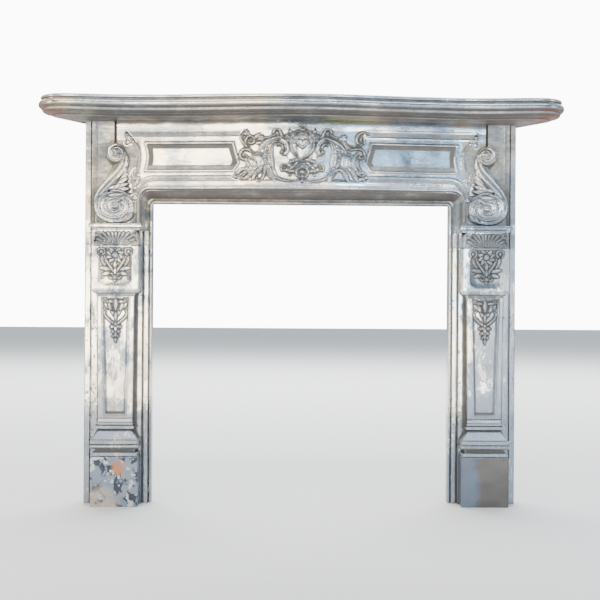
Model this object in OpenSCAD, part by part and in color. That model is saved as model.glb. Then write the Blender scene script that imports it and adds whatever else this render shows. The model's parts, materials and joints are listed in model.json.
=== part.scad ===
// Cast-iron fireplace surround in the French rococo manner.
// A serpentine shelf lies on a bowed frieze with two S-scroll consoles, over two panelled jambs.
// Millimetres, +Z up, front towards -Y. The origin is on the floor, under the middle of the whole.

/* [Overall] */
// Clear width of the fire opening
opening_w = 914; // [760:1:1100]
// Clear height of the fire opening
opening_h = 919; // [765:1:1110]
// Width of one jamb, from the opening to its outer edge
jamb_w = 204; // [196:1:246]
// Height of the frieze front, from its lower edge to the shelf
frieze_h = 209; // [166:1:240]

/* [Shelf] */
// Width of the shelf across its ends
shelf_w = 1572; // [1500:1:1900]
// Depth of the shelf at its middle, from the wall
shelf_d = 232; // [200:1:280]
// Thickness of the moulded shelf edge
shelf_t = 59; // [54:1:80]
// How far the middle of the shelf bows forward of the hollows beside it
shelf_bow = 44; // [20:1:55]
// How far the two ends come forward of the hollows
shelf_horn = 15; // [5:1:22]
// Plan radius of the two front corners
shelf_corner = 78; // [70:1:90]
// How far the ends turn back inward behind those corners, in degrees
shelf_turn = 33; // [0:1:33]
// Radius of the shelf's main round moulding
shelf_torus = 12; // [9:0.5:14]

/* [Frieze] */
// How far the middle of the frieze bows forward
frieze_bow = 40; // [15:1:50]
// Depth of the frieze front at its ends, from the wall
frieze_d = 82; // [74:1:92]
// Depth of the sunk back panels outside the consoles
back_d = 55; // [50:1:62]
// How far the raised bands stand proud
band_proud = 4; // [2:0.5:6]
// Height of the upper raised band
band_h = 18; // [12:1:22]
// Height of the plain strip above the upper band
fascia_h = 32; // [16:1:36]
// Depth of the two sunk panels
panel_sunk = 9; // [5:0.5:11]
// Half width of the middle cartouche
cartouche_half = 205; // [180:1:215]
// How far the soffit rises from the slip to the frieze front
soffit_rise = 23; // [16:1:30]

/* [Slip and strips] */
// Width of the slip around the opening
slip_w = 15; // [12:1:18]
// Depth of the slip face, from the wall
slip_d = 32; // [26:1:36]
// Width of the rounded bead on the slip's edge
bead_w = 8; // [5:0.5:10]
// How far that bead stands proud
bead_proud = 4; // [2:0.5:6]
// Width of the flat strip along each outer edge
strip_w = 17.5; // [12:0.5:20]
// Depth of the outer strips, from the wall
strip_d = 48; // [40:1:49]

/* [Console and cap] */
// How far the cap's underside lies below the top of the opening
cap_drop = 87; // [80:1:100]
// Thickness of the cap moulding
cap_t = 20.5; // [15:0.5:24]
// Half width of the cap moulding
cap_half = 79; // [75:0.5:82]
// Radius of the console's upper scroll
scroll_top_r = 30; // [24:1:34]
// Half width of the console's lower scroll
scroll_low_r = 70; // [60:1:72]
// How far the console stands proud of the frieze front
console_proud = 13; // [8:1:18]

/* [Pilaster] */
// Height of the coved neck under the cap
neck_h = 48; // [40:1:56]
// Height of the square die block
die_h = 130; // [120:1:150]
// Half width of the die block
die_half = 71.5; // [68:0.5:73]
// Height of the bevel under the die
die_bevel = 18; // [12:1:24]
// Half width of the shaft at its top
shaft_half = 55.3; // [52:0.1:57]
// How much narrower the shaft is at its foot, each side
shaft_taper = 3.5; // [0:0.5:5]
// Depth of the shaft's face in front of its half width
face_lead = 35; // [30:1:40]
// Depth of the sunk panels in die and shaft
pilaster_sunk = 6; // [3:0.5:8]
// Height of the plinth block
plinth_h = 151; // [120:1:170]
// Half width of the plinth block
plinth_half = 71.3; // [68:0.1:73]

/* [Casting] */
// Wall thickness of the hollow-backed castings
wall_t = 7; // [6:0.5:10]

/* [Hidden] */
$fn = 32;
scroll_squash = 0.8;
frieze_lo = opening_h + slip_w + soffit_rise;
frieze_hi = frieze_lo + frieze_h;
total_h = frieze_hi + shelf_t;
half_open = opening_w / 2;
half_legs = half_open + jamb_w;
axis_x = half_open + jamb_w / 2 + 1;
front_half = axis_x + 2;
front_open = half_open + 34;
joint_z = opening_h - cap_drop;
cap_z = joint_z + cap_t;
neck_z = joint_z - neck_h;
die_z = neck_z - die_h;
shaft_top_z = die_z - die_bevel;
base_h = plinth_h + 115;
scroll_top_z = frieze_lo + 107.5;
scroll_low_z = cap_z + scroll_squash * scroll_low_r - 5;
scroll_top_in = scroll_top_r - 3;
scroll_low_in = scroll_low_r - 16;
cu = cartouche_half / 205;
cart_z = frieze_lo + 109 * frieze_h / 209;
mid_y = shelf_d / 2;
iron = [0.62, 0.63, 0.64];
iron_warm = [0.68, 0.66, 0.63];
iron_cool = [0.56, 0.60, 0.64];
iron_dark = [0.46, 0.45, 0.44];

// ---- plan curves ----

// How far the frieze front lies forward of its ends, at x
function bow(x) = frieze_bow * (1 + cos(180 * min(abs(x), front_half) / front_half)) / 2;

// Depth of the shelf edge at x, along the straight-run part of the plan
dip_x = 0.325 * shelf_w;
horn_x = shelf_w / 2 - shelf_corner;
dip_d = shelf_d - shelf_bow;
function shelf_depth(x) = abs(x) < dip_x
    ? dip_d + shelf_bow * (1 + cos(180 * abs(x) / dip_x)) / 2
    : dip_d + shelf_horn * (1 - cos(180 * (abs(x) - dip_x) / (horn_x - dip_x))) / 2;
function shelf_slope(x) = (shelf_depth(x + 1) - shelf_depth(x - 1)) / 2;

// ---- drawing helpers ----

function unit(v) = v / max(norm(v), 0.0001);
function turn(v) = [-v[1], v[0]];
function along(p, i) = unit(p[min(i + 1, len(p) - 1)] - p[max(i - 1, 0)]);
// A band of varying half width w along the line p, as one closed outline
function ribbon(p, w) = concat(
    [for (i = [0 : len(p) - 1]) p[i] + turn(along(p, i)) * w[i]],
    [for (i = [len(p) - 1 : -1 : 0]) p[i] - turn(along(p, i)) * w[i]]);
// A spiral about c: from radius r0 at angle a0 to r1 at a1, with the height squashed by q
function spiral(c, r0, r1, a0, a1, n, q = 1) = [for (i = [0 : n])
    let (t = i / n, a = a0 + (a1 - a0) * t, r = r0 + (r1 - r0) * t)
    c + [r * cos(a), q * r * sin(a)]];
function fade(n, w0, w1) = [for (i = [0 : n]) w0 + (w1 - w0) * i / n];
// A pointed leaf of length l and half width h, along +x
function leaf(l, h, n = 8) = concat(
    [for (i = [0 : n]) [l * i / n, h * sin(180 * pow(i / n, 0.8))]],
    [for (i = [n - 1 : -1 : 1]) [l * i / n, -h * sin(180 * pow(i / n, 0.8))]]);
function arc(c, r, a0, a1, n) = [for (i = [0 : n])
    c + r * [cos(a0 + (a1 - a0) * i / n), sin(a0 + (a1 - a0) * i / n)]];

// Stands an outline drawn in x and z upright, from depth a to depth b in front of the wall
module face(a, b) {
    translate([0, -a, 0])
        rotate([90, 0, 0])
            linear_extrude(height = b - a)
                children();
}

module leaf_at(p, a, l, h) {
    translate(p)
        rotate(a)
            polygon(leaf(l, h));
}

module both_ways() {
    children();
    mirror([1, 0])
        children();
}

// The space between the bowed surface moved forward by a and by b, from z0 to z1
module bow_band(a, b, z0, z1) {
    n = 22;
    xs = [for (i = [0 : n]) front_half * (2 * i / n - 1)];
    translate([0, 0, z0])
        linear_extrude(height = z1 - z0)
            polygon(concat(
                [for (x = xs) [x, -(frieze_d + bow(x) + a)]],
                [for (i = [n : -1 : 0]) [xs[i], -(frieze_d + bow(xs[i]) + b)]]));
}

// Raises an outline drawn in x and z on the bowed frieze front by h
module on_bow(h) {
    intersection() {
        face(frieze_d - 8, frieze_d + frieze_bow + h + 1)
            children();
        bow_band(-4, h, frieze_lo - 2, frieze_hi);
    }
}

// The opening's outline in front view: half width w, top at h, corner radius r
module arch(w, h, r) {
    union() {
        translate([-w, -10])
            square([2 * w, h + 10 - r]);
        translate([-w + r, -10])
            square([2 * w - 2 * r, h + 10]);
        for (s = [-1, 1])
            translate([s * (w - r), h - r])
                circle(r);
    }
}

// ---- shelf ----

// The edge profile from the top down: how far each point lies in from the edge, and its height
torus_z = total_h - 14 - shelf_torus;
groove_z = torus_z - shelf_torus - 0.5;
ovolo_z = groove_z - 3;
ovolo_drop = (ovolo_z - frieze_hi) * 0.64;
cavetto_drop = (ovolo_z - frieze_hi) * 0.30;
edge = concat(
    [for (a = [90 : -40 : -70]) [13 - 6 * cos(a), total_h - 6 + 6 * sin(a)]],
    [[12, total_h - 13]],
    [for (a = [105 : 25 : 255]) [shelf_torus + shelf_torus * cos(a), torus_z + shelf_torus * sin(a)]],
    [[10, groove_z], [10, ovolo_z]],
    [for (a = [15 : 25 : 90]) [28 - 18 * cos(a), ovolo_z - ovolo_drop * sin(a)]],
    [[28, frieze_hi + cavetto_drop]],
    [for (a = [30 : 30 : 90]) [28 + 14 * sin(a), frieze_hi + cavetto_drop * cos(a)]]);

// How far the shelf's hollow lies in from its edge
shelf_in = 38 + wall_t;
// The shelf's plan: points along the edge with the outward direction at each
n_run = 40;
n_corner = 11;
function corner_pt(s, a) = [s * (horn_x + shelf_corner * cos(a)),
    -(dip_d + shelf_horn - shelf_corner + shelf_corner * sin(a))];
// The ends turn in no further than the frieze's own ends, under the shelf's foot at the wall
end_turn = max(0, min(shelf_turn, atan((horn_x - half_legs + 36) / (dip_d + shelf_horn - shelf_corner))));
function corner_a(i) = -end_turn + (90 + end_turn) * i / n_corner;
// Where each end line meets a plane 40 behind the wall
end_x = horn_x + shelf_corner / cos(end_turn)
    - (dip_d + shelf_horn - shelf_corner + 40) * tan(end_turn);
plan = concat(
    [[[-end_x, 40], [-1 / cos(end_turn), 0]]],
    [for (i = [0 : n_corner - 1]) let (a = corner_a(i)) [corner_pt(-1, a), [-cos(a), -sin(a)]]],
    [for (i = [0 : n_run]) let (x = horn_x * (2 * i / n_run - 1), m = shelf_slope(x))
        [[x, -shelf_depth(x)], unit([-m, -1])]],
    [for (i = [n_corner - 1 : -1 : 0]) let (a = corner_a(i)) [corner_pt(1, a), [cos(a), -sin(a)]]],
    [[[end_x, 40], [1 / cos(end_turn), 0]]]);

module shelf_body() {
    np = len(plan);
    nr = len(edge);
    m = np + 1;
    pts = [for (k = [0 : nr - 1]) each concat(
        [for (p = plan) [p[0][0] - p[1][0] * edge[k][0], p[0][1] - p[1][1] * edge[k][0], edge[k][1]]],
        [[0, 40, edge[k][1]]])];
    sides = [for (k = [0 : nr - 2]) for (i = [0 : m - 1])
        let (j = (i + 1) % m) [k * m + i, k * m + j, (k + 1) * m + j, (k + 1) * m + i]];
    top = [for (i = [0 : np - 2]) [np, i + 1, i]];
    low = [for (i = [0 : np - 2]) [(nr - 1) * m + np, (nr - 1) * m + i, (nr - 1) * m + i + 1]];
    polyhedron(points = pts, faces = concat(sides, top, low));
}

module mantel_shelf() {
    color(iron_dark)
        translate([0, mid_y, 0])
            difference() {
                shelf_body();
                translate([-shelf_w, 0, 0])
                    cube([2 * shelf_w, 60, 2 * total_h]);
                // open-backed hollow that follows the edge
                translate([0, 0, frieze_hi + wall_t])
                    linear_extrude(height = shelf_t - 2 * wall_t)
                        polygon([for (p = plan) p[0] - shelf_in * p[1]]);
            }
}

// ---- frieze ----

// The console's middle line: how far outward of the pilaster's axis it runs, and its height
function s_mix(t) = (1 - cos(180 * t)) / 2;
n_s = 16;
s_run = [for (i = [0 : n_s])
    let (t = i / n_s, k = min(max((t - 0.06) / 0.78, 0), 1), tail = max((t - 0.84) / 0.16, 0))
    [-scroll_top_in - 2 + (scroll_top_in + scroll_low_in + 6) * s_mix(k) - 9 * tail * tail,
     scroll_top_z - 6 + (scroll_low_z - scroll_top_z - 15) * t]];
s_width = [for (i = [0 : n_s]) 6 + 9.5 * sin(180 * pow(i / n_s, 0.8))];

module console_outline() {
    union() {
        translate([0, scroll_top_z])
            circle(scroll_top_r);
        translate([0, scroll_low_z])
            scale([1, scroll_squash])
                circle(scroll_low_r - 10);
        polygon(ribbon(s_run, s_width));
        polygon(ribbon(
            spiral([0, scroll_low_z], scroll_low_in, scroll_low_in - 6, 0, -180, 12, scroll_squash),
            fade(12, 12, 9)));
    }
}

// The raised scroll lines along the console
module console_ridges() {
    polygon(ribbon(spiral([0, scroll_top_z], scroll_top_in - 1, 9, 180, -270, 16), fade(16, 4, 2.5)));
    polygon(ribbon(
        spiral([0, scroll_low_z], scroll_low_in + 9, 14, 0, -810, 34, scroll_squash),
        fade(34, 5, 3)));
    polygon(ribbon(s_run, fade(n_s, 4, 5)));
    for (i = [0 : 4])
        let (k = 3 + 2 * i)
            leaf_at(s_run[k], -10 - 8 * i, 24, 6);
}

module console() {
    color(iron_warm)
        union() {
            translate([axis_x, 0, 0])
                face(back_d - 2, frieze_d + console_proud)
                    console_outline();
            translate([axis_x, 0, 0])
                face(frieze_d + console_proud - 2, frieze_d + console_proud + 4)
                    console_ridges();
            translate([axis_x, 0, 0])
                face(frieze_d + console_proud - 2, frieze_d + console_proud + 7)
                    for (p = [[0, scroll_top_z], [0, scroll_low_z]])
                        translate(p)
                            circle(7);
        }
}

// The frieze plate in front view, without its opening
module front_outline() {
    both_ways()
        polygon(concat(
            [[0, cap_z - 2], [axis_x + scroll_low_in, cap_z - 2]],
            [for (i = [n_s : -1 : 0]) s_run[i] + [axis_x, 0]],
            [[front_half, scroll_top_z], [front_half, frieze_hi], [0, frieze_hi]]));
}

// The frame line of one sunk panel, moved in by g
module panel_outline(g) {
    x0 = cartouche_half + 2 + g;
    x1 = front_half - 86 - g;
    z0 = frieze_lo + 54 + g;
    z1 = frieze_hi - 68 - g;
    zm = z0 + (z1 - z0) * 0.3;
    polygon(concat(
        [[x0, z1], [x0 - 17, zm], [x0, z0], [x1, z0]],
        [for (t = [0.15 : 0.14 : 0.9]) [x1 - 9 * sin(180 * t), z0 + (z1 - z0) * t]],
        [[x1, z1]]));
}

// The raised frame of a sunk panel
module panel_frame() {
    difference() {
        panel_outline(-3);
        panel_outline(3);
    }
}

// The lower band runs along the frieze, turns down beside the opening and ends in a curl
module lower_band() {
    z = frieze_lo + 31;
    xb = front_open + 6;
    r = 50;
    p = concat([[cartouche_half - 30, z], [xb - r, z]],
        arc([xb - r, z - r], r, 75, 0, 6),
        [[xb + 4, z - r - 14]]);
    union() {
        polygon(ribbon(p, [for (q = p) 7.5]));
        translate([xb + 9, z - r - 14])
            circle(8);
        leaf_at([xb - 6, z - 6], 30, 30, 8);
    }
}

// The upper band, its end leaf, and the frame line that bends round beside the console
module upper_band() {
    z1 = frieze_hi - fascia_h;
    xe = front_half - 30;
    p = concat(
        arc([xe - 8, z1 - 70], 46, 60, 180, 8),
        [[xe - 50, z1 - 92], [xe - 40, z1 - 122], [xe - 18, z1 - 148]]);
    union() {
        translate([cartouche_half - 20, z1 - band_h])
            square([xe - cartouche_half + 20, band_h]);
        translate([xe - 8, z1 - band_h - 12])
            square([8, 20]);
        polygon(ribbon(p, fade(len(p) - 1, 4, 3)));
        leaf_at([xe - 4, z1 - band_h - 14], -60, 26, 8);
        leaf_at([xe - 4, z1 - band_h - 14], 215, 20, 6);
    }
}

module c_scroll(c, r, a0, a1, w0, w1, q = 1) {
    polygon(ribbon(spiral(c, r, r * 0.34, a0, a1, 16, q), fade(16, w0, w1)));
}

// Half of the cartouche's carving, about its middle line; sizes follow its half width
module cartouche_half_carving() {
    // main C-scroll and its curled ends
    c_scroll([-56, 22], 38, -60, 250, 7, 4);
    polygon(ribbon(
        [for (i = [0 : 12]) let (a = 120 + 120 * i / 12) [-42 + 62 * cos(a), -12 + 62 * sin(a)]],
        fade(12, 9, 7)));
    polygon(ribbon([for (i = [0 : 8]) let (t = i / 8) [-73 + 70 * t, -66 - 12 * sin(90 * t)]], fade(8, 7, 4)));
    // ear scroll
    translate([-76, 74])
        circle(12);
    polygon(ribbon(arc([-64, 62], 22, 150, 20, 8), fade(8, 5, 4)));
    // fringe of leaves outside the C-scroll
    for (i = [0 : 4])
        leaf_at([-98 + 4 * i, 30 - 22 * i], 175 + 16 * i, 26, 9);
    // wing scroll with its two eyes
    polygon(ribbon([for (i = [0 : 12]) let (t = i / 12) [-190 + 62 * t, 66 - 92 * t * t]], fade(12, 4, 6)));
    c_scroll([-172, 54], 20, 80, -260, 4, 3);
    c_scroll([-178, 2], 20, 60, 360, 4, 3);
    polygon(ribbon(arc([-118, 18], 30, 170, 60, 8), fade(8, 5, 8)));
    for (i = [0 : 3])
        leaf_at([-178, 66], 40 + 38 * i, 26, 7);
    // shell of overlapping lobes between the wing and the C-scroll
    for (i = [0 : 2])
        translate([-150 + 22 * i, -14 - 6 * i])
            circle(20);
    // lower acanthus fringe
    for (i = [0 : 4])
        leaf_at([-176 + 26 * i, -34 - 4 * i], 250 + 3 * i, 44 - 3 * i, 10);
    // bouquet and crest
    for (i = [0 : 2])
        leaf_at([-6, -44], 120 + 34 * i, 40 - 4 * i, 9);
    leaf_at([0, 62], 112, 38, 9);
    leaf_at([0, 62], 150, 46, 8);
}

module shield() {
    polygon(concat(
        [for (i = [0 : 8]) let (t = i / 8) [-24 + 24 * t, 42 + 6 * sin(180 * t)]],
        [for (i = [1 : 8]) let (t = i / 8) [24 * t, 42 + 6 * sin(180 * t)]],
        [for (i = [1 : 7]) let (t = i / 8) [24 * cos(90 * t), 42 - 50 * sin(90 * t)]],
        [[0, -10]],
        [for (i = [7 : -1 : 1]) let (t = i / 8) [-24 * cos(90 * t), 42 - 50 * sin(90 * t)]]));
}

module place_cartouche() {
    translate([0, cart_z])
        scale([cu, cu])
            children();
}

module cartouche() {
    color(iron_cool)
        union() {
            on_bow(4)
                intersection() {
                    place_cartouche() {
                        scale([1.45, 0.86])
                            circle(84);
                        both_ways()
                            translate([-128, 8])
                                scale([1, 0.72])
                                    circle(74);
                    }
                    translate([-front_half, frieze_lo + 14])
                        square([2 * front_half, frieze_h - 16]);
                }
            on_bow(11)
                intersection() {
                    place_cartouche()
                        both_ways()
                            cartouche_half_carving();
                    translate([-front_half, frieze_lo + 12])
                        square([2 * front_half, frieze_h - 13]);
                }
            on_bow(13)
                place_cartouche() {
                    shield();
                    leaf_at([0, 58], 90, 34, 12);
                    translate([0, -58])
                        circle(11);
                    leaf_at([0, -66], 270, 26, 7);
                }
            on_bow(16)
                place_cartouche()
                    translate([0, 30])
                        circle(11);
        }
}

// The cap moulding over one jamb: a fillet over a hollow, returned on both sides
module cap() {
    e = [[joint_z, -9], [joint_z + 3, -8.4], [joint_z + 6, -6.5], [joint_z + 8.5, -2.5], [joint_z + 9, 0],
         [cap_z - 3, 0], [cap_z - 1, -1], [cap_z, -3]];
    color(iron)
        intersection() {
            translate([axis_x - 0.5, 0, 0])
                face(0, 200)
                    polygon(concat(
                        [for (p = e) [cap_half + p[1], p[0]]],
                        [for (i = [len(e) - 1 : -1 : 0]) [-cap_half - e[i][1], e[i][0]]]));
            translate([axis_x - 130, 0, 0])
                rotate([90, 0, 90])
                    linear_extrude(height = 260)
                        polygon(concat(
                            [for (p = e) [-(face_lead + cap_half + p[1]), p[0]]],
                            [[0, cap_z], [0, joint_z]]));
        }
}

module frieze_plate() {
    color(iron)
        difference() {
            union() {
                intersection() {
                    bow_band(-frieze_d - frieze_bow, 0, cap_z - 2, frieze_hi);
                    face(0, frieze_d + frieze_bow + 1)
                        front_outline();
                }
                for (s = [-1, 1])
                    intersection() {
                        translate([s < 0 ? -half_legs + 6 : 0, -back_d, joint_z])
                            cube([half_legs - 6, back_d, frieze_hi - joint_z]);
                        face(0, back_d)
                            translate([s < 0 ? -half_legs : half_open, joint_z])
                                square([jamb_w, frieze_hi - joint_z]);
                    }
                translate([-half_legs, -strip_d, joint_z])
                    cube([2 * half_legs, strip_d, frieze_hi - joint_z]);
            }
            face(frieze_d - 8, 200)
                arch(front_open, frieze_lo, 30);
            hull() {
                face(slip_d, slip_d + 0.5)
                    arch(half_open + slip_w, frieze_lo - soffit_rise, 12);
                face(frieze_d - 8, frieze_d - 7.5)
                    arch(front_open, frieze_lo, 30);
            }
            face(-1, slip_d + 1)
                arch(half_open, opening_h, 7);
            // the gap beside the outer strips
            for (s = [-1, 1])
                translate([s * (half_legs - strip_w - 2) - 2, -back_d - 5, joint_z - 1])
                    cube([4, 18, frieze_h + 200]);
            for (s = [-1, 1])
                translate([s < 0 ? -half_legs - 1 : half_legs - strip_w, -back_d - 5, joint_z - 1])
                    cube([strip_w + 1, back_d + 5 - strip_d, frieze_h + 300]);
        }
}

// Hollow back of the frieze: behind the bowed front, down both legs, and over the soffit
module frieze_pocket() {
    inner = half_open + slip_w + 27;
    union() {
        intersection() {
            bow_band(-frieze_d - frieze_bow - 5, -panel_sunk - wall_t, frieze_lo + wall_t, frieze_hi - wall_t);
            translate([-axis_x + scroll_top_in + 13, -300, 0])
                cube([2 * (axis_x - scroll_top_in - 13), 301, 2 * total_h]);
        }
        for (s = [0, 1])
            mirror([s, 0, 0]) {
                translate([inner, -back_d + wall_t, joint_z + wall_t])
                    cube([half_legs - strip_w - 13 - inner, back_d + 1, frieze_hi - joint_z - 2 * wall_t]);
                translate([half_legs - strip_w - 20, -back_d + 12 + wall_t, joint_z + wall_t])
                    cube([strip_w + 20 - wall_t, back_d, frieze_hi - joint_z - 2 * wall_t]);
            }
        translate([-half_open, -slip_d + wall_t, opening_h + wall_t])
            cube([opening_w, slip_d, soffit_rise + slip_w + 5]);
    }
}

module frieze() {
    translate([0, mid_y, 0])
        union() {
            difference() {
                union() {
                    frieze_plate();
                    for (s = [0, 1])
                        mirror([s, 0, 0])
                            console();
                    for (s = [0, 1])
                        mirror([s, 0, 0])
                            cap();
                    on_bow(band_proud)
                        both_ways() {
                            upper_band();
                            difference() {
                                lower_band();
                                translate([front_open - 40, frieze_lo - 60])
                                    square([34, 58]);
                            }
                            panel_frame();
                        }
                    on_bow(3)
                        difference() {
                            translate([-front_open - 8, frieze_lo - 2])
                                square([2 * front_open + 16, 11]);
                            arch(front_open, frieze_lo, 30);
                        }
                }
                intersection() {
                    face(frieze_d - 20, 200)
                        both_ways()
                            panel_outline(3);
                    bow_band(-panel_sunk * 0.45, 60, frieze_lo, frieze_hi);
                }
                intersection() {
                    face(frieze_d - 20, 200)
                        both_ways()
                            panel_outline(21);
                    bow_band(-panel_sunk, 60, frieze_lo, frieze_hi);
                }
                frieze_pocket();
                face(frieze_d - 7, 200)
                    translate([-half_open, frieze_lo - 60])
                        square([opening_w, 58]);
            }
            cartouche();
            // bead on the slip's edge
            color(iron_warm)
                face(slip_d - 2, slip_d + bead_proud)
                    intersection() {
                        difference() {
                            arch(half_open + bead_w, opening_h + bead_w, 12);
                            arch(half_open, opening_h, 7);
                        }
                        translate([-half_legs, joint_z])
                            square([2 * half_legs, 300]);
                    }
        }
}

// ---- jambs ----

// The pilaster's half width at each height, from the floor up
shaft_foot = shaft_half - shaft_taper;
torus_lo = plinth_h + 23;
pilaster_profile = concat(
    [[0, plinth_half], [plinth_h - 2, plinth_half], [plinth_h, plinth_half - 2]],
    [[plinth_h + 0.1, 67], [plinth_h + 2, 69], [plinth_h + 10, 69], [plinth_h + 12, 67]],
    [[plinth_h + 12.1, 60], [torus_lo, 60]],
    [for (a = [-80 : 20 : 80]) [torus_lo + 7 + 7 * sin(a), 67 + 7 * cos(a)]],
    [[torus_lo + 14.1, 70], [torus_lo + 15, 72], [torus_lo + 26, 72], [torus_lo + 27, 70]],
    [for (a = [0 : 15 : 75]) [torus_lo + 27.5 + 30 * sin(a), 47 + 22 * (1 - sin(a))]],
    [[plinth_h + 81, 47], [plinth_h + 81.1, 54], [plinth_h + 83, 56.6]],
    [[plinth_h + 91, 56.6], [plinth_h + 92, 54]],
    [[plinth_h + 92.1, 50], [plinth_h + 94, 54], [plinth_h + 100, 54], [plinth_h + 101, 52]],
    [for (a = [0 : 30 : 90]) [plinth_h + 101.5 + 13 * sin(a), shaft_foot - 1.5 + 2.5 * cos(a)]],
    [[base_h, shaft_foot], [shaft_top_z, shaft_half]],
    [[shaft_top_z + 1, shaft_half + 2.5], [shaft_top_z + 4, shaft_half + 3]],
    [for (a = [0 : 18 : 90]) [die_z - 13 * cos(a), die_half - 13 + 13 * sin(a) - 0.4]],
    [[die_z + 0.5, die_half], [neck_z - 0.5, die_half], [neck_z, die_half - 1]],
    [[neck_z + 0.1, 65], [neck_z + 4, 65]],
    [for (a = [0 : 18 : 90]) [neck_z + 4.5 + 28 * sin(a), 57.5 + 6.5 * (1 - sin(a))]],
    [[joint_z, 58]]);

module pilaster_block() {
    e = pilaster_profile;
    n = len(e);
    color(iron)
        intersection() {
            translate([axis_x, 0, 0])
                face(0, 200)
                    polygon(concat(
                        [for (p = e) [p[1], p[0]]],
                        [for (i = [n - 1 : -1 : 0]) [-e[i][1], e[i][0]]]));
            translate([axis_x - 130, 0, 0])
                rotate([90, 0, 90])
                    linear_extrude(height = 260)
                        polygon(concat(
                            [for (p = e) [-(face_lead + p[1]), p[0]]],
                            [[0, joint_z], [0, 0]]));
        }
}

// The jamb's flat plate, outer strip, inner strip and slip, as one plan section
module jamb_plate() {
    x0 = half_open;
    color(iron_cool)
        linear_extrude(height = joint_z)
            polygon([
                [x0, 0], [x0, -slip_d - bead_proud + 2], [x0 + 2, -slip_d - bead_proud],
                [x0 + bead_w - 2, -slip_d - bead_proud], [x0 + bead_w, -slip_d - bead_proud + 2],
                [x0 + bead_w, -slip_d + 3], [x0 + bead_w + 2, -slip_d + 3], [x0 + bead_w + 2, -slip_d - 8],
                [x0 + bead_w + 4, -slip_d - 10], [x0 + 25, -slip_d - 10], [x0 + 26, -slip_d - 6],
                [x0 + 28, -slip_d - 6], [x0 + 28, -back_d + 1], [x0 + 29, -back_d],
                [half_legs - strip_w - 4, -back_d], [half_legs - strip_w - 4, -back_d + 12],
                [half_legs - strip_w, -back_d + 12], [half_legs - strip_w, -strip_d + 1],
                [half_legs - strip_w + 1, -strip_d], [half_legs - 2, -strip_d], [half_legs, -strip_d + 2],
                [half_legs, 0]]);
}

module die_panel(g) {
    x = 52 - g;
    z0 = die_z + 8 + g;
    z1 = neck_z - 5 - g;
    c = 12;
    polygon([[-x, z1], [-x, z0 + c], [-x + 5, z0 + c], [-x + c, z0],
        [x - c, z0], [x - 5, z0 + c], [x, z0 + c], [x, z1]]);
}

module shaft_panel(g) {
    z0 = base_h + 8.5 + g;
    z1 = shaft_top_z - 7 - g;
    x0 = shaft_foot - 19.8 - g;
    x1 = shaft_half - 13.8 - g;
    polygon([[-x0, z0], [x0, z0], [x1, z1], [-x1, z1]]);
}

// Daisy, scrolls and hanging husks on the die
module die_ornament() {
    z = neck_z - 26;
    for (i = [0 : 7])
        leaf_at([0, z], 45 * i, 26, 7);
    both_ways() {
        polygon(ribbon(spiral([40, z + 2], 12, 4, -120, 330, 18), fade(18, 3.5, 2)));
        for (i = [0 : 3])
            leaf_at([38 - 8 * i, z - 20 - 14 * i], 215 + 8 * i, 24, 7);
        leaf_at([44, z - 44], 100, 26, 6);
    }
    leaf_at([0, z - 56], 270, 36, 7);
    leaf_at([0, z - 30], 270, 34, 5);
}

// Leaf spray and hanging husks at the head of the shaft
module shaft_ornament() {
    z = shaft_top_z - 14;
    both_ways() {
        translate([31, z])
            circle(8);
        leaf_at([31, z], 215, 36, 8);
        leaf_at([20, z], 240, 30, 6);
        leaf_at([4, z - 40], 320, 22, 6);
        leaf_at([8, z - 48], 260, 26, 5);
    }
    for (i = [0 : 4])
        leaf_at([0, z - 34 - 24 * i], 270, 30, 8 - i);
    leaf_at([0, z - 4], 270, 36, 8);
}

// The jamb's open back: deep behind the pilaster, shallower behind its strips and slip
module jamb_hollow() {
    sole = 10;
    tall = joint_z - sole - wall_t;
    flank = half_open + 28 + wall_t;
    outer = half_legs - strip_w - 4 - wall_t;
    translate([axis_x - shaft_foot + wall_t + 1, -face_lead - shaft_foot + wall_t + pilaster_sunk + 3, sole])
        cube([2 * (shaft_foot - wall_t - 1), 200, tall]);
    translate([flank, -back_d + wall_t, sole])
        cube([outer - flank, 200, tall]);
    translate([outer - 1, -back_d + 12 + wall_t, sole])
        cube([half_legs - wall_t - outer + 1, 200, tall]);
    translate([half_open + wall_t, -slip_d + 3 + wall_t, sole])
        cube([29, 200, tall]);
}

module jamb() {
    union() {
        difference() {
            union() {
                jamb_plate();
                pilaster_block();
            }
            translate([axis_x, 0, 0])
                face(face_lead + die_half - pilaster_sunk, 200)
                    die_panel(0);
            intersection() {
                translate([axis_x, 0, 0])
                    face(0, 200)
                        shaft_panel(0);
                translate([0, -200 - face_lead - shaft_foot + pilaster_sunk - 1, 0])
                    cube([2 * half_legs, 200, joint_z]);
            }
            jamb_hollow();
        }
        color(iron_warm)
            translate([axis_x, 0, 0])
                face(face_lead + die_half - pilaster_sunk - 1, face_lead + die_half - 0.5)
                    die_ornament();
        color(iron_warm)
            translate([axis_x, 0, 0])
                face(face_lead + shaft_foot - pilaster_sunk - 1, face_lead + shaft_half - 0.5)
                    shaft_ornament();
        // fan of rays and side brackets on the neck
        color(iron_warm)
            translate([axis_x, 0, 0])
                face(face_lead + 50, face_lead + 63)
                    for (i = [-3 : 3])
                        translate([0, neck_z + 8])
                            rotate(90 - 24 * i)
                                translate([8, -2.2])
                                    square([i == 0 ? 30 : 26 + 4 * abs(i), 4.4]);
        color(iron_warm)
            translate([axis_x, 0, 0])
                for (s = [-1, 1])
                    for (p = [[57, 12], [54, 34]])
                        translate([s * p[0], 2 - back_d, neck_z + p[1]])
                            rotate([90, 0, 0])
                                cylinder(r = 7.5, h = face_lead + 64 - back_d);
    }
}

module right_jamb() {
    translate([0, mid_y, 0])
        jamb();
}

module left_jamb() {
    translate([0, mid_y, 0])
        mirror([1, 0, 0])
            jamb();
}

mantel_shelf();
frieze();
left_jamb();
right_jamb();
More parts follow.
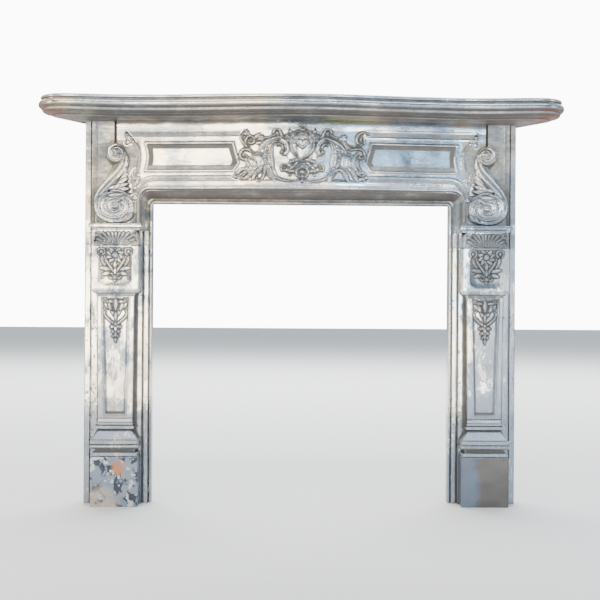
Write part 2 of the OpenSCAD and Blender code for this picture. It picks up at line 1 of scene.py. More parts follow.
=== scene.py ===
"""Cast-iron rococo fireplace surround: finished meshes, burnished iron, studio light and camera.

Lengths in the shape functions are millimetres: x across, d forward of the wall, z up from the floor.
"""

import json
import math

import bpy
import numpy as np
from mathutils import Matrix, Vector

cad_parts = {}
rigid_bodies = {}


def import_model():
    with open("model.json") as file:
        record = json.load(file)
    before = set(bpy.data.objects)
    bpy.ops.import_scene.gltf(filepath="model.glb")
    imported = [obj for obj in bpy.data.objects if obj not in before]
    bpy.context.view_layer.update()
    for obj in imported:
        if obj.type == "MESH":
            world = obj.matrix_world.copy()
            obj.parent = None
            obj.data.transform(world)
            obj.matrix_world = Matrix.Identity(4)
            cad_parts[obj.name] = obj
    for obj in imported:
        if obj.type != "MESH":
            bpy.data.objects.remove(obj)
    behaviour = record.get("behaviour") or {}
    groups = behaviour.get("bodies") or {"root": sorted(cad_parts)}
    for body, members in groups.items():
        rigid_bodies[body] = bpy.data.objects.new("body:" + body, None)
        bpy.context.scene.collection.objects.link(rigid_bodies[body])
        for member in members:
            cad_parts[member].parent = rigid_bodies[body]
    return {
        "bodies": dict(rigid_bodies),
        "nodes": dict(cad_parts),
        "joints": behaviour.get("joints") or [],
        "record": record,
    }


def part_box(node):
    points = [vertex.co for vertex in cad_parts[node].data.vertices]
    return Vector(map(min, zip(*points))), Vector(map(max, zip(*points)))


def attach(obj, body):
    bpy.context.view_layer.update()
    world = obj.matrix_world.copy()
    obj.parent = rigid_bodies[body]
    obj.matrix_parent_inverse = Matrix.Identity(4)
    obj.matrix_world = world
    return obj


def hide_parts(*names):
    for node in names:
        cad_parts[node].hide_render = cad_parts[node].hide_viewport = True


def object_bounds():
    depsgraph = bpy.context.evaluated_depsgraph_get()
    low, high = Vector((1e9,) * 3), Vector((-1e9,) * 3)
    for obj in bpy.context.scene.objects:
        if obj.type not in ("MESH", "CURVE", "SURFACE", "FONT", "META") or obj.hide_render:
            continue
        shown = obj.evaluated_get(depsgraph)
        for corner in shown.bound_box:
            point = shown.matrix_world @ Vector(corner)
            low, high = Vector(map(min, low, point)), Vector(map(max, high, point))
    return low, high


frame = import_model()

cad_lo, cad_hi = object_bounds()
MM = 0.001
rng = np.random.default_rng(7)

# ---------------------------------------------------------------- sizes
jamb_lo, jamb_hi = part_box("right_jamb")
frieze_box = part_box("frieze")
shelf_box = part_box("mantel_shelf")
WALL_Y = cad_hi.y / MM
JOINT = jamb_hi.z / MM
OPEN_W = jamb_lo.x / MM
LEGS = jamb_hi.x / MM
FRIEZE_TOP = frieze_box[1].z / MM
SHELF_TOP = cad_hi.z / MM
SHELF_W = 2 * cad_hi.x / MM
OPEN_H = 919.0
FRIEZE_LO = 957.0
CAP_Z = JOINT + 20.5
AXIS = OPEN_W + (LEGS - OPEN_W) / 2 + 1
FRONT_HALF = AXIS + 2
FRONT_OPEN = OPEN_W + 34
BOW, FRIEZE_D, BACK_D, STRIP_D, STRIP_W = 40.0, 82.0, 55.0, 48.0, 17.5
SLIP_D, SLIP_W, BEAD_W, BEAD_P = 32.0, 15.0, 8.0, 4.0
CAP_HALF, LEAD = 79.0, 35.0
NECK_Z = JOINT - 48
DIE_Z = NECK_Z - 130
SHAFT_TOP = DIE_Z - 18
BASE_H = 266.0
SHAFT_HALF, SHAFT_FOOT = 55.3, 51.8
TOP_Z, LOW_Z = FRIEZE_LO + 107.5, CAP_Z + 51.0
CART_Z = FRIEZE_LO + 109.0


# ---------------------------------------------------------------- shape helpers
def step(t):
    t = np.clip(t, 0.0, 1.0)
    return t * t * (3 - 2 * t)


def bow(x):
    return BOW * (1 + np.cos(np.pi * np.minimum(np.abs(x), FRONT_HALF) / FRONT_HALF)) / 2


def arc(c, r, a0, a1, n=16, q=1.0):
    a = np.radians(np.linspace(a0, a1, n))
    return np.c_[c[0] + r * np.cos(a), c[1] + q * r * np.sin(a)]


def spiral(c, r0, r1, a0, a1, n=60, q=1.0):
    a = np.radians(np.linspace(a0, a1, n))
    r = np.linspace(r0, r1, n)
    return np.c_[c[0] + r * np.cos(a), c[1] + q * r * np.sin(a)]


def bend(p, a, length, turn, n=14):
    """A line from p, setting off at angle a and turning by turn degrees over its length."""
    t = np.linspace(0, 1, n)
    ang = np.radians(a + turn * t)
    dx, dz = np.cos(ang) * length / (n - 1), np.sin(ang) * length / (n - 1)
    x = p[0] + np.r_[0, np.cumsum(dx[:-1])]
    z = p[1] + np.r_[0, np.cumsum(dz[:-1])]
    return np.c_[x, z]


def sd_poly(x, z, pts):
    """Signed distance to a closed outline, negative inside."""
    pts = np.asarray(pts, float)
    best = np.full(x.shape, 1e9)
    inside = np.zeros(x.shape, bool)
    for (ax, az), (bx, bz) in zip(pts, np.roll(pts, -1, 0)):
        ex, ez = bx - ax, bz - az
        ll = ex * ex + ez * ez
        if ll < 1e-9:
            continue
        t = np.clip(((x - ax) * ex + (z - az) * ez) / ll, 0, 1)
        best = np.minimum(best, (x - ax - t * ex) ** 2 + (z - az - t * ez) ** 2)
        if az != bz:
            inside ^= ((az > z) != (bz > z)) & (x < (bx - ax) * (z - az) / (bz - az) + ax)
    return np.where(inside, -1, 1) * np.sqrt(best)


def sd_line(x, z, pts):
    """Distance to an open line, its share of the way along, and the side as a sign."""
    pts = np.asarray(pts, float)
    seg = np.diff(pts, axis=0)
    ln = np.hypot(seg[:, 0], seg[:, 1])
    cum = np.r_[0, np.cumsum(ln)] / ln.sum()
    best = np.full(x.shape, 1e18)
    t_at = np.zeros(x.shape)
    side = np.ones(x.shape)
    for i, (ex, ez) in enumerate(seg):
        if ln[i] < 1e-9:
            continue
        px, pz = x - pts[i, 0], z - pts[i, 1]
        t = np.clip((px * ex + pz * ez) / ln[i] ** 2, 0, 1)
        d = (px - t * ex) ** 2 + (pz - t * ez) ** 2
        m = d < best
        best = np.where(m, d, best)
        t_at = np.where(m, cum[i] + t * (cum[i + 1] - cum[i]), t_at)
        side = np.where(m, np.where(ex * pz - ez * px >= 0, 1.0, -1.0), side)
    return np.sqrt(best), t_at, side


class Relief:
    """A height map over x and z, built up from strokes, leaves and bosses."""

    def __init__(self, x0, x1, z0, z1, cell, groove=0.0):
        self.x = np.linspace(x0, x1, int(round((x1 - x0) / cell)) + 1)
        self.z = np.linspace(z0, z1, int(round((z1 - z0) / cell)) + 1)
        self.X, self.Z = np.meshgrid(self.x, self.z)
        self.H = np.full(self.X.shape, -1.5)
        self.groove = groove

    def lay(self, win, v, w, new):
        """Sets a shape over what is there, with a fine groove cut round it."""
        h = self.H[win]
        h = np.where((v < 1 + self.groove / w) & (h > 0), 0.3 * h, h)
        self.H[win] = np.where(v < 1, np.maximum(h, new), h)

    def window(self, pts, pad):
        lo, hi = pts.min(0) - pad, pts.max(0) + pad
        i0, i1 = np.searchsorted(self.z, [lo[1], hi[1]])
        j0, j1 = np.searchsorted(self.x, [lo[0], hi[0]])
        return slice(max(i0 - 1, 0), i1 + 1), slice(max(j0 - 1, 0), j1 + 1)

    def stroke(self, pts, w, h, kind="round", base=0.0, ends=0.0):
        """w and h may be numbers or (start, middle, end). ends pulls the two tips down."""
        pts = np.asarray(pts, float)
        w3 = np.atleast_1d(np.asarray(w, float))
        h3 = np.atleast_1d(np.asarray(h, float))
        win = self.window(pts, w3.max() + 1)
        x, z = self.X[win], self.Z[win]
        if x.size == 0:
            return
        d, t, side = sd_line(x, z, pts)
        wt = np.interp(t, np.linspace(0, 1, len(w3)), w3)
        if kind == "leaf":  # scalloped edge
            wt = wt * (0.82 + 0.22 * np.abs(np.sin(np.pi * 3.5 * t)))
        ht = np.interp(t, np.linspace(0, 1, len(h3)), h3)
        v = d / np.maximum(wt, 0.05)
        vs = v * side
        edge = np.sqrt(np.clip(1 - v**2, 0, 1))
        if kind == "round":
            p = edge
        elif kind == "channel":  # hollow between two raised rims
            p = np.clip(1 - v**6, 0, 1) ** 0.5 * (0.52 + 0.48 * v**2)
        elif kind == "ridge":  # a fine ridge on a soft bed
            p = 0.55 * edge + 0.45 * np.exp(-((v / 0.3) ** 2)) * (v < 1)
        elif kind == "petal":  # smooth and full, with a faint midrib
            p = np.clip(1 - v**6, 0, 1) ** 0.5 * (1 - 0.12 * np.exp(-((v / 0.16) ** 2)))
        elif kind == "leaf":  # two lobed halves either side of a sunk midrib
            lobe = 0.86 + 0.14 * np.cos(2 * np.pi * (t * 4.0 + 0.9 * v))
            p = edge**0.8 * (1 - 0.42 * np.exp(-((v / 0.16) ** 2))) * lobe
        elif kind == "flute":  # a broad leaf with lengthwise flutes
            p = np.clip(1 - v**4, 0, 1) ** 0.5 * (0.72 + 0.28 * np.cos(2 * np.pi * 1.5 * vs))
        elif kind == "curl":  # one edge turned up
            p = edge * (0.6 + 0.4 * np.clip(vs, -1, 1))
        else:
            p = edge
        if ends:
            p = p * (1 - ends * np.clip(2 * np.abs(t - 0.5), 0, 1) ** 3)
        self.lay(win, v, np.maximum(wt, 0.05), base + ht * p)

    def leaf(self, p, a, length, half, h, turn=0.0, base=0.0, kind="leaf"):
        pts = bend(p, a, length, turn)
        t = np.linspace(0, 1, 9)
        w = half * np.sin(np.pi * np.clip(t, 0.02, 1) ** 0.72) ** 0.8 + 0.3
        w[-1] = 0.4
        hh = h * (0.45 + 0.75 * np.sin(np.pi * t**0.8))
        if kind == "petal":
            hh = h * (0.8 + 0.2 * np.sin(np.pi * t))
        self.stroke(pts, w, hh, kind, base)

    def frond(self, p, a, length, half, h, turn=0.0, lobes=4, base=0.0):
        """An acanthus frond: a spine with paired lobes that shorten to the tip."""
        spine = bend(p, a, length, turn, 24)
        for i in range(lobes):
            k = int((i + 0.4) / lobes * 22)
            q = spine[k]
            way = math.degrees(math.atan2(*(spine[k + 1] - spine[k])[::-1]))
            size = half * (1.05 - 0.55 * i / lobes)
            for s in (-1, 1):
                self.leaf(q, way + s * 48, size * 1.5, size * 0.42, h * 0.9, -s * 38, base)
        self.leaf(spine[int(22 * 0.55)], math.degrees(math.atan2(*(spine[-1] - spine[-6])[::-1])),
                  length * 0.5, half * 0.4, h, turn * 0.3, base)
        self.stroke(spine, (half * 0.22, half * 0.18, 0.6), (h * 1.1, h, h * 0.6), "round", base)

    def boss(self, c, r, h, q=1.0, base=0.0, power=0.5):
        c = np.asarray(c, float)
        win = self.window(c[None], r + 1)
        x, z = self.X[win], self.Z[win]
        v = np.hypot(x - c[0], (z - c[1]) / q) / r
        self.lay(win, v, r, base + h * np.clip(1 - v**2, 0, 1) ** power)

    def dent(self, c, r, depth, q=1.0):
        c = np.asarray(c, float)
        win = self.window(c[None], r + 1)
        x, z = self.X[win], self.Z[win]
        v = np.hypot(x - c[0], (z - c[1]) / q) / r
        self.H[win] -= depth * np.clip(1 - v**2, 0, 1)

    def volute(self, c, r, h, turns, spin=1, a0=0.0, q=1.0, base=0.0, eye=0.2):
        """A coiled scroll: a spiral ribbon with a hollow back, rising to a round eye."""
        c = np.asarray(c, float)
        win = self.window(c[None], r + 1)
        x, z = (self.X[win] - c[0]), (self.Z[win] - c[1]) / q
        rr = np.hypot(x, z)
        th = spin * (np.degrees(np.arctan2(z, x)) - a0) / 360.0
        pitch = r * (1 - eye) / turns
        ph = ((r - rr) / pitch + th) % 1.0
        coil = np.clip(np.sin(np.pi * np.clip(ph, 0, 1)), 0, 1) ** 0.55
        rim = np.sqrt(np.clip(1 - (rr / r) ** 8, 0, 1))
        hh = base + h * rim * (0.35 + 0.45 * coil + 0.2 * (1 - rr / r))
        e = rr / (r * eye)
        hh = np.maximum(hh, np.where(e < 1, base + h * (0.75 + 0.45 * np.sqrt(np.clip(1 - e**2, 0, 1))), -1.5))
        self.H[win] = np.maximum(self.H[win], np.where(rr < r, hh, -1.5))

    def mirror(self):
        """Copies the right half to the left, for a map centred on x = 0."""
        self.H = np.maximum(self.H, self.H[:, ::-1])

    def soften(self, times=1):
        for _ in range(times):
            h = self.H
            p = np.pad(h, 1, "edge")
            self.H = (4 * h + 2 * (p[:-2, 1:-1] + p[2:, 1:-1] + p[1:-1, :-2] + p[1:-1, 2:])
                      + p[:-2, :-2] + p[:-2, 2:] + p[2:, :-2] + p[2:, 2:]) / 16

    def at(self, x, z, outside=0.0):
        fx = np.clip((x - self.x[0]) / (self.x[1] - self.x[0]), 0, len(self.x) - 1.001)
        fz = np.clip((z - self.z[0]) / (self.z[1] - self.z[0]), 0, len(self.z) - 1.001)
        i, j = fz.astype(int), fx.astype(int)
        a, b = fz - i, fx - j
        h = self.H
        v = (h[i, j] * (1 - a) * (1 - b) + h[i, j + 1] * (1 - a) * b
             + h[i + 1, j] * a * (1 - b) + h[i + 1, j + 1] * a * b)
        out = (x < self.x[0]) | (x > self.x[-1]) | (z < self.z[0]) | (z > self.z[-1])
        return np.where(out, outside, v)


def blur(a, r):
    """A soft average over r cells each way."""
    k = np.exp(-0.5 * (np.arange(-3 * r, 3 * r + 1) / r) ** 2)
    k /= k.sum()
    for axis in (0, 1):
        p = np.pad(a, [(3 * r, 3 * r) if i == axis else (0, 0) for i in (0, 1)], "edge")
        a = sum(w * np.take(p, np.arange(i, i + a.shape[axis]), axis) for i, w in enumerate(k))
    return a


# Slow, shallow waves left by casting and hand polishing
WAVES = [(rng.uniform(-1, 1, 3) * rng.uniform(0.008, 0.05), rng.uniform(0, 6.28), rng.uniform(0.3, 1.0)) for _ in range(26)]


def waves(x, y, z, size=0.12):
    out = 0
    for k, ph, amp in WAVES:
        out = out + amp * np.sin(k[0] * x + k[1] * y + k[2] * z + ph)
    return size * out / 3.0


# ---------------------------------------------------------------- meshes
def put(name, verts, quads, node, smooth=40.0, attrs=None):
    """A mesh from points in x, d, z (millimetres) and four-sided faces."""
    v = np.asarray(verts, float).reshape(-1, 3)
    v = np.c_[v[:, 0], WALL_Y - v[:, 1], v[:, 2]] * MM
    q = np.asarray(quads, np.int32).reshape(-1, 4)
    me = bpy.data.meshes.new(name)
    me.vertices.add(len(v))
    me.vertices.foreach_set("co", v.astype(np.float32).ravel())
    me.loops.add(len(q) * 4)
    me.loops.foreach_set("vertex_index", q.ravel())
    me.polygons.add(len(q))
    me.polygons.foreach_set("loop_start", np.arange(len(q), dtype=np.int32) * 4)
    me.update(calc_edges=True)
    me.validate()
    for key in ("grime", "wear"):
        a = me.attributes.new(key, "FLOAT", "POINT")
        val = (attrs or {}).get(key)
        a.data.foreach_set("value", np.zeros(len(v), np.float32) if val is None else np.asarray(val, np.float32).ravel())
    me.shade_smooth()
    me.set_sharp_from_angle(angle=math.radians(smooth))
    ob = bpy.data.objects.new(name, me)
    bpy.context.scene.collection.objects.link(ob)
    ob.data.materials.append(IRON)
    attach(ob, "root")
    if node:
        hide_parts(node)
    return ob


def grid_faces(n, m, keep=None, flip=False, first=0):
    i, j = np.meshgrid(np.arange(n - 1), np.arange(m - 1), indexing="ij")
    if keep is not None:
        i, j = i[keep], j[keep]
    a, b = i * m + j, i * m + j + 1
    c, d = (i + 1) * m + j + 1, (i + 1) * m + j
    q = np.stack([a, b, c, d], -1).reshape(-1, 4)
    return (q[:, ::-1] if flip else q) + first


def hollows(p, reach=(2, 5), scale=(0.6, 1.6)):
    """How far each point of a grid lies behind the mean of its neighbours, from 0 to 1."""
    out = np.zeros(p.shape[:2])
    dj = np.gradient(p, axis=1)
    di = np.gradient(p, axis=0)
    nrm = np.cross(dj, di)
    nrm /= np.maximum(np.linalg.norm(nrm, axis=2, keepdims=True), 1e-9)
    nrm *= 1 if nrm[:, :, 1].mean() > 0 else -1
    for k, s in zip(reach, scale):
        e = np.pad(p, ((k, k), (k, k), (0, 0)), "edge")
        mean = (e[: -2 * k, k:-k] + e[2 * k :, k:-k] + e[k:-k, : -2 * k] + e[k:-k, 2 * k :]) / 4
        lap = ((mean - p) * nrm).sum(2)
        out = np.maximum(out, np.clip(lap / s, -1, 1))
    return out


def join(parts):
    """Several (points, faces, grime and painted shade, wear) as one."""
    vs, qs, gs, ws, n = [], [], [], [], 0
    for p, q, g, w in parts:
        p = np.asarray(p, float).reshape(-1, 3)
        vs.append(p)
        qs.append(np.asarray(q).reshape(-1, 4) + n)
        gs.append(np.zeros(len(p)) if g is None else np.asarray(g, float).ravel())
        ws.append(np.zeros(len(p)) if w is None else np.asarray(w, float).ravel())
        n += len(p)
    return np.vstack(vs), np.vstack(qs), np.concatenate(gs), np.concatenate(ws)


def shell_back(xs, zs, region, depth, there):
    """The plain back of a casting, seen from the wall: flat cells at their own depths, joined by walls."""
    pts, quads = [], []

    def quad(a, b, c, d):
        n = len(pts)
        pts.extend([a, b, c, d])
        quads.append([n, n + 1, n + 2, n + 3])

    reg = {}
    for i in range(len(zs) - 1):
        for j in range(len(xs) - 1):
            x, z = (xs[j] + xs[j + 1]) / 2, (zs[i] + zs[i + 1]) / 2
            reg[i, j] = region(x, z) if there(x, z) else None
    for (i, j), r in reg.items():
        x0, x1, z0, z1 = xs[j], xs[j + 1], zs[i], zs[i + 1]
        if r is None:
            continue
        a, b = depth(r, x0), depth(r, x1)
        quad((x0, a, z0), (x0, a, z1), (x1, b, z1), (x1, b, z0))
        r2 = reg.get((i, j + 1))
        if r2 is not None and r2 != r:
            quad((x1, b, z0), (x1, b, z1), (x1, depth(r2, x1), z1), (x1, depth(r2, x1), z0))
        r3 = reg.get((i + 1, j))
        if r3 is not None and r3 != r:
            quad((x0, a, z1), (x0, depth(r3, x0), z1), (x1, depth(r3, x1), z1), (x1, b, z1))
    p = np.array(pts, float)
    # the hidden back gets painted shade
    return p, np.array(quads), np.full(len(p), 0.75), np.zeros(len(p))


# ---------------------------------------------------------------- material
def burnished_iron():
    m = bpy.data.materials.new("burnished_iron")
    m.use_nodes = True
    nt = m.node_tree
    nt.nodes.clear()
    N, L = nt.nodes.new, nt.links.new

    def node(kind, **kw):
        n = N(kind)
        for k, v in kw.items():
            setattr(n, k, v)
        return n

    def noise(scale, detail=4.0, rough=0.55, stretch=None):
        n = node("ShaderNodeTexNoise")
        n.inputs["Scale"].default_value = scale
        n.inputs["Detail"].default_value = detail
        n.inputs["Roughness"].default_value = rough
        if stretch:
            mp = node("ShaderNodeMapping")
            mp.inputs["Scale"].default_value = stretch
            L(geo.outputs["Position"], mp.inputs["Vector"])
            L(mp.outputs["Vector"], n.inputs["Vector"])
        else:
            L(geo.outputs["Position"], n.inputs["Vector"])
        return n.outputs["Fac"]

    def ramp(x, a, b, lo=0.0, hi=1.0):
        r = node("ShaderNodeMapRange", interpolation_type="SMOOTHSTEP")
        L(x, r.inputs["Value"])
        r.inputs["From Min"].default_value = a
        r.inputs["From Max"].default_value = b
        r.inputs["To Min"].default_value = lo
        r.inputs["To Max"].default_value = hi
        return r.outputs["Result"]

    def calc(op, a, b=None, c=None):
        n = node("ShaderNodeMath", operation=op)
        for k, v in enumerate((a, b, c)):
            if v is None:
                continue
            if isinstance(v, (int, float)):
                n.inputs[k].default_value = v
            else:
                L(v, n.inputs[k])
        return n.outputs[0]

    def mix(f, a, b):
        n = node("ShaderNodeMix", data_type="RGBA")
        for k, v in ((0, f), (6, a), (7, b)):
            if isinstance(v, (tuple, float)):
                n.inputs[k].default_value = (*v, 1.0) if isinstance(v, tuple) else v
            else:
                L(v, n.inputs[k])
        return n.outputs[2]

    def mix_value(f, a, b):
        n = node("ShaderNodeMix")
        for k, v in ((0, f), (2, a), (3, b)):
            L(v, n.inputs[k])
        return n.outputs[0]

    def spot(c, r, soft=0.4):
        """Nearness to a point of the object, in metres."""
        d = node("ShaderNodeVectorMath", operation="DISTANCE")
        L(geo.outputs["Position"], d.inputs[0])
        d.inputs[1].default_value = c
        return ramp(d.outputs["Value"], r * (1 + soft), r * (1 - soft))

    def spot_z(z, r):
        return ramp(calc("ABSOLUTE", calc("SUBTRACT", pos.outputs["Z"], z)), r, r * 0.4)

    geo = node("ShaderNodeNewGeometry")
    sep = node("ShaderNodeSeparateXYZ")
    L(geo.outputs["Normal"], sep.inputs[0])
    pos = node("ShaderNodeSeparateXYZ")
    L(geo.outputs["Position"], pos.inputs[0])
    grime_and_shade_in = node("ShaderNodeAttribute", attribute_name="grime").outputs["Fac"]
    wear_in = node("ShaderNodeAttribute", attribute_name="wear").outputs["Fac"]

    broad = noise(3.0, 3.0)
    cloud = noise(14.0, 5.0, 0.6)
    fine = noise(90.0, 6.0, 0.65)
    along = noise(5.0, 3.0, 0.5, (6.0, 6.0, 40.0))
    upright = noise(8.0, 5.0, 0.6, (44.0, 14.0, 5.0))
    high = ramp(pos.outputs["Z"], 0.86, 0.90)
    brush = mix_value(high, upright, along)
    speck = noise(420.0, 2.0, 0.5)
    blotch = mix_value(high, noise(17.0, 6.0, 0.66, (1.25, 1.0, 0.8)), noise(9.0, 3.0, 0.5, (1.0, 1.0, 1.7)))

    # bright iron, tinted warmer or cooler in patches and cooler towards the right as painted reflections of warm and
    # blue surroundings, with a thin dull film where it was rubbed less
    cool = calc("ADD", calc("MULTIPLY", broad, 0.6), calc("MULTIPLY", blotch, 0.4))
    cool = calc("ADD", cool, ramp(pos.outputs["X"], -0.2, 0.3, -0.03, 0.06))
    metal = mix(ramp(cool, 0.43, 0.57), (0.78, 0.735, 0.67), (0.60, 0.69, 0.79))
    film_and_shade = calc("ADD", blotch, calc("MULTIPLY", calc("SUBTRACT", broad, 0.5), 0.35))
    # painted shade: more film towards the bottom and low on the frieze
    film_and_shade = calc("ADD", film_and_shade, ramp(pos.outputs["Z"], 0.36, 0.25, 0.0, 0.20))
    film_and_shade = calc("ADD", film_and_shade, calc("MULTIPLY", high, ramp(pos.outputs["Z"], 1.02, 0.985, 0.0, 0.06)))
    # painted reflection: less film on the right jamb's inner strips
    film_and_shade = calc("ADD", film_and_shade, calc("MULTIPLY", ramp(pos.outputs["X"], 0.40, 0.44), ramp(pos.outputs["X"], 0.492, 0.484, 0.0, -0.08)))
    film_and_shade = calc("ADD", film_and_shade, calc("MULTIPLY", calc("SUBTRACT", brush, 0.5), calc("ADD", calc("MULTIPLY", high, 0.0), 0.4)))
    # painted reflection: more film on the right past the inner strips
    film_and_shade = calc("ADD", film_and_shade, calc("MULTIPLY", ramp(pos.outputs["X"], 0.49, 0.53), calc("SUBTRACT", 0.17, calc("MULTIPLY", high, 0.12))))
    film_and_shade = calc("MULTIPLY", ramp(film_and_shade, 0.475, 0.62), calc("SUBTRACT", 0.82, calc("MULTIPLY", high, 0.27)))
    metal = mix(film_and_shade, metal, (0.20, 0.235, 0.285))
    # the base mouldings are darker and bluer, the plinths painted over: flaking on the left, smooth on the right
    base = calc("MULTIPLY", ramp(pos.outputs["Z"], 0.29, 0.265), ramp(brush, 0.35, 0.6, 0.25, 0.7))
    metal = mix(base, metal, (0.17, 0.205, 0.26))
    out_x = calc("ABSOLUTE", pos.outputs["X"])
    foot = calc("MULTIPLY", ramp(pos.outputs["Z"], 0.155, 0.145), ramp(blotch, 0.38, 0.62, 0.95, 1.0))
    foot = calc("MULTIPLY", foot, calc("MULTIPLY", ramp(out_x, 0.486, 0.488), ramp(out_x, 0.634, 0.632)))
    flakes = ramp(noise(44.0, 3.0, 0.6, (1.0, 1.0, 0.8)), 0.50, 0.56)
    left = mix(flakes, (0.19, 0.235, 0.305), (0.045, 0.056, 0.078))
    left = mix(ramp(noise(60.0, 2.0, 0.5), 0.58, 0.62), left, (0.45, 0.48, 0.52))
    right = mix(ramp(calc("ADD", pos.outputs["X"], calc("MULTIPLY", cloud, 0.05)), 0.545, 0.575), (0.12, 0.155, 0.21), (0.115, 0.112, 0.11))
    metal = mix(foot, metal, mix(ramp(pos.outputs["X"], -0.1, 0.1), left, right))
    film_and_shade = calc("MAXIMUM", film_and_shade, foot)
    # bright streaks along the polish, none on the painted plinths: a painted sheen
    painted_sheen = calc("MULTIPLY", ramp(brush, 0.56, 0.70), calc("SUBTRACT", 0.5, calc("MULTIPLY", foot, 0.5)))
    metal = mix(painted_sheen, metal, (0.86, 0.85, 0.83))

    # grime in the hollows, with painted shade in recesses, under ledges and round the carving
    g = calc("ADD", grime_and_shade_in, calc("MULTIPLY", calc("SUBTRACT", fine, 0.5), 0.5))
    grime = calc("MULTIPLY", ramp(g, 0.12, 0.75), 0.92)
    colour = mix(grime, metal, (0.10, 0.098, 0.088))

    # brown painted shade on everything that faces down
    down = ramp(sep.outputs["Z"], -0.25, -0.7)
    underside_shade = calc("MULTIPLY", calc("MULTIPLY", down, high), ramp(cloud, 0.2, 0.55, 0.75, 0.97))
    colour = mix(underside_shade, colour, mix(ramp(broad, 0.4, 0.6), (0.105, 0.085, 0.075), (0.075, 0.068, 0.062)))
    tips = calc("MULTIPLY", calc("MULTIPLY", down, high), ramp(calc("ABSOLUTE", pos.outputs["X"]), 0.66, 0.73, 0.0, 0.9))
    colour = mix(tips, colour, (0.13, 0.055, 0.038))

    # rust and greenish traces where they show
    def patch(c, r, tint, amount, grain=fine, lo=0.42, hi=0.6, soft=0.5):
        nonlocal colour
        f = calc("MULTIPLY", calc("MULTIPLY", spot(c, r, soft), ramp(grain, lo, hi)), amount)
        colour = mix(f, colour, tint)
        return f

    stains = []
    top = SHELF_TOP * MM
    stains.append(patch((-0.545, -0.005, 0.118), 0.025, (0.52, 0.21, 0.09), 0.95, blotch, 0.38, 0.46, 0.25))
    stains.append(patch((-0.60, -0.005, 0.008), 0.045, (0.52, 0.44, 0.35), 0.8, cloud, 0.36, 0.5))
    stains.append(patch((0.50, 0.01, 0.13), 0.035, (0.25, 0.13, 0.07), 0.75, fine, 0.56, 0.64))
    stains.append(patch((0.51, 0.01, 0.10), 0.03, (0.25, 0.13, 0.07), 0.75, fine, 0.56, 0.64))
    stains.append(patch((0.50, 0.01, 0.03), 0.03, (0.25, 0.13, 0.07), 0.75, fine, 0.56, 0.64))
    for s in (-1, 1):
        stains.append(patch((s * 0.785, -0.01, top - 0.035), 0.062, (0.17, 0.095, 0.068), 0.9, cloud, 0.25, 0.5))
    stains.append(patch((-0.69, -0.08, top - 0.03), 0.07, (0.30, 0.31, 0.20), 0.5, cloud, 0.45, 0.6))
    green = calc("MULTIPLY", calc("MULTIPLY", ramp(pos.outputs["X"], 0.05, 0.10), ramp(pos.outputs["X"], 0.26, 0.20)),
                 calc("MULTIPLY", spot_z(FRIEZE_TOP * MM - 0.006, 0.009), 0.6))
    colour = mix(green, colour, (0.42, 0.42, 0.22))

    # worn and pitted spots
    pit = calc("MULTIPLY", ramp(speck, 0.66, 0.74), 0.35)
    colour = mix(pit, colour, (0.20, 0.18, 0.16))
    colour = mix(calc("MULTIPLY", ramp(wear_in, 0.1, 0.8), 0.85), colour, (0.10, 0.09, 0.08))

    dull = calc("MAXIMUM", calc("MAXIMUM", grime, underside_shade), ramp(wear_in, 0.1, 0.8))
    for f in stains:
        dull = calc("MAXIMUM", dull, f)
    rough = calc("ADD", calc("MULTIPLY", cloud, 0.14), calc("MULTIPLY", brush, 0.10))
    rough = calc("ADD", rough, calc("MULTIPLY", dull, 0.40))
    rough = calc("ADD", rough, calc("MULTIPLY", film_and_shade, 0.14))
    rough = calc("ADD", rough, 0.07)

    bsdf = node("ShaderNodeBsdfPrincipled")
    L(colour, bsdf.inputs["Base Color"])
    L(calc("SUBTRACT", 1.0, calc("MULTIPLY", dull, 0.75)), bsdf.inputs["Metallic"])
    L(rough, bsdf.inputs["Roughness"])
    b1 = node("ShaderNodeBump")
    b1.inputs["Strength"].default_value = 0.6
    b1.inputs["Distance"].default_value = 0.006
    L(noise(11.0, 1.5, 0.5), b1.inputs["Height"])
    b2 = node("ShaderNodeBump")
    b2.inputs["Strength"].default_value = 0.35
    b2.inputs["Distance"].default_value = 0.0008
    L(calc("ADD", fine, calc("MULTIPLY", speck, 0.4)), b2.inputs["Height"])
    L(b1.outputs["Normal"], b2.inputs["Normal"])
    L(b2.outputs["Normal"], bsdf.inputs["Normal"])
    out = node("ShaderNodeOutputMaterial")
    L(bsdf.outputs[0], out.inputs["Surface"])
    return m


IRON = burnished_iron()


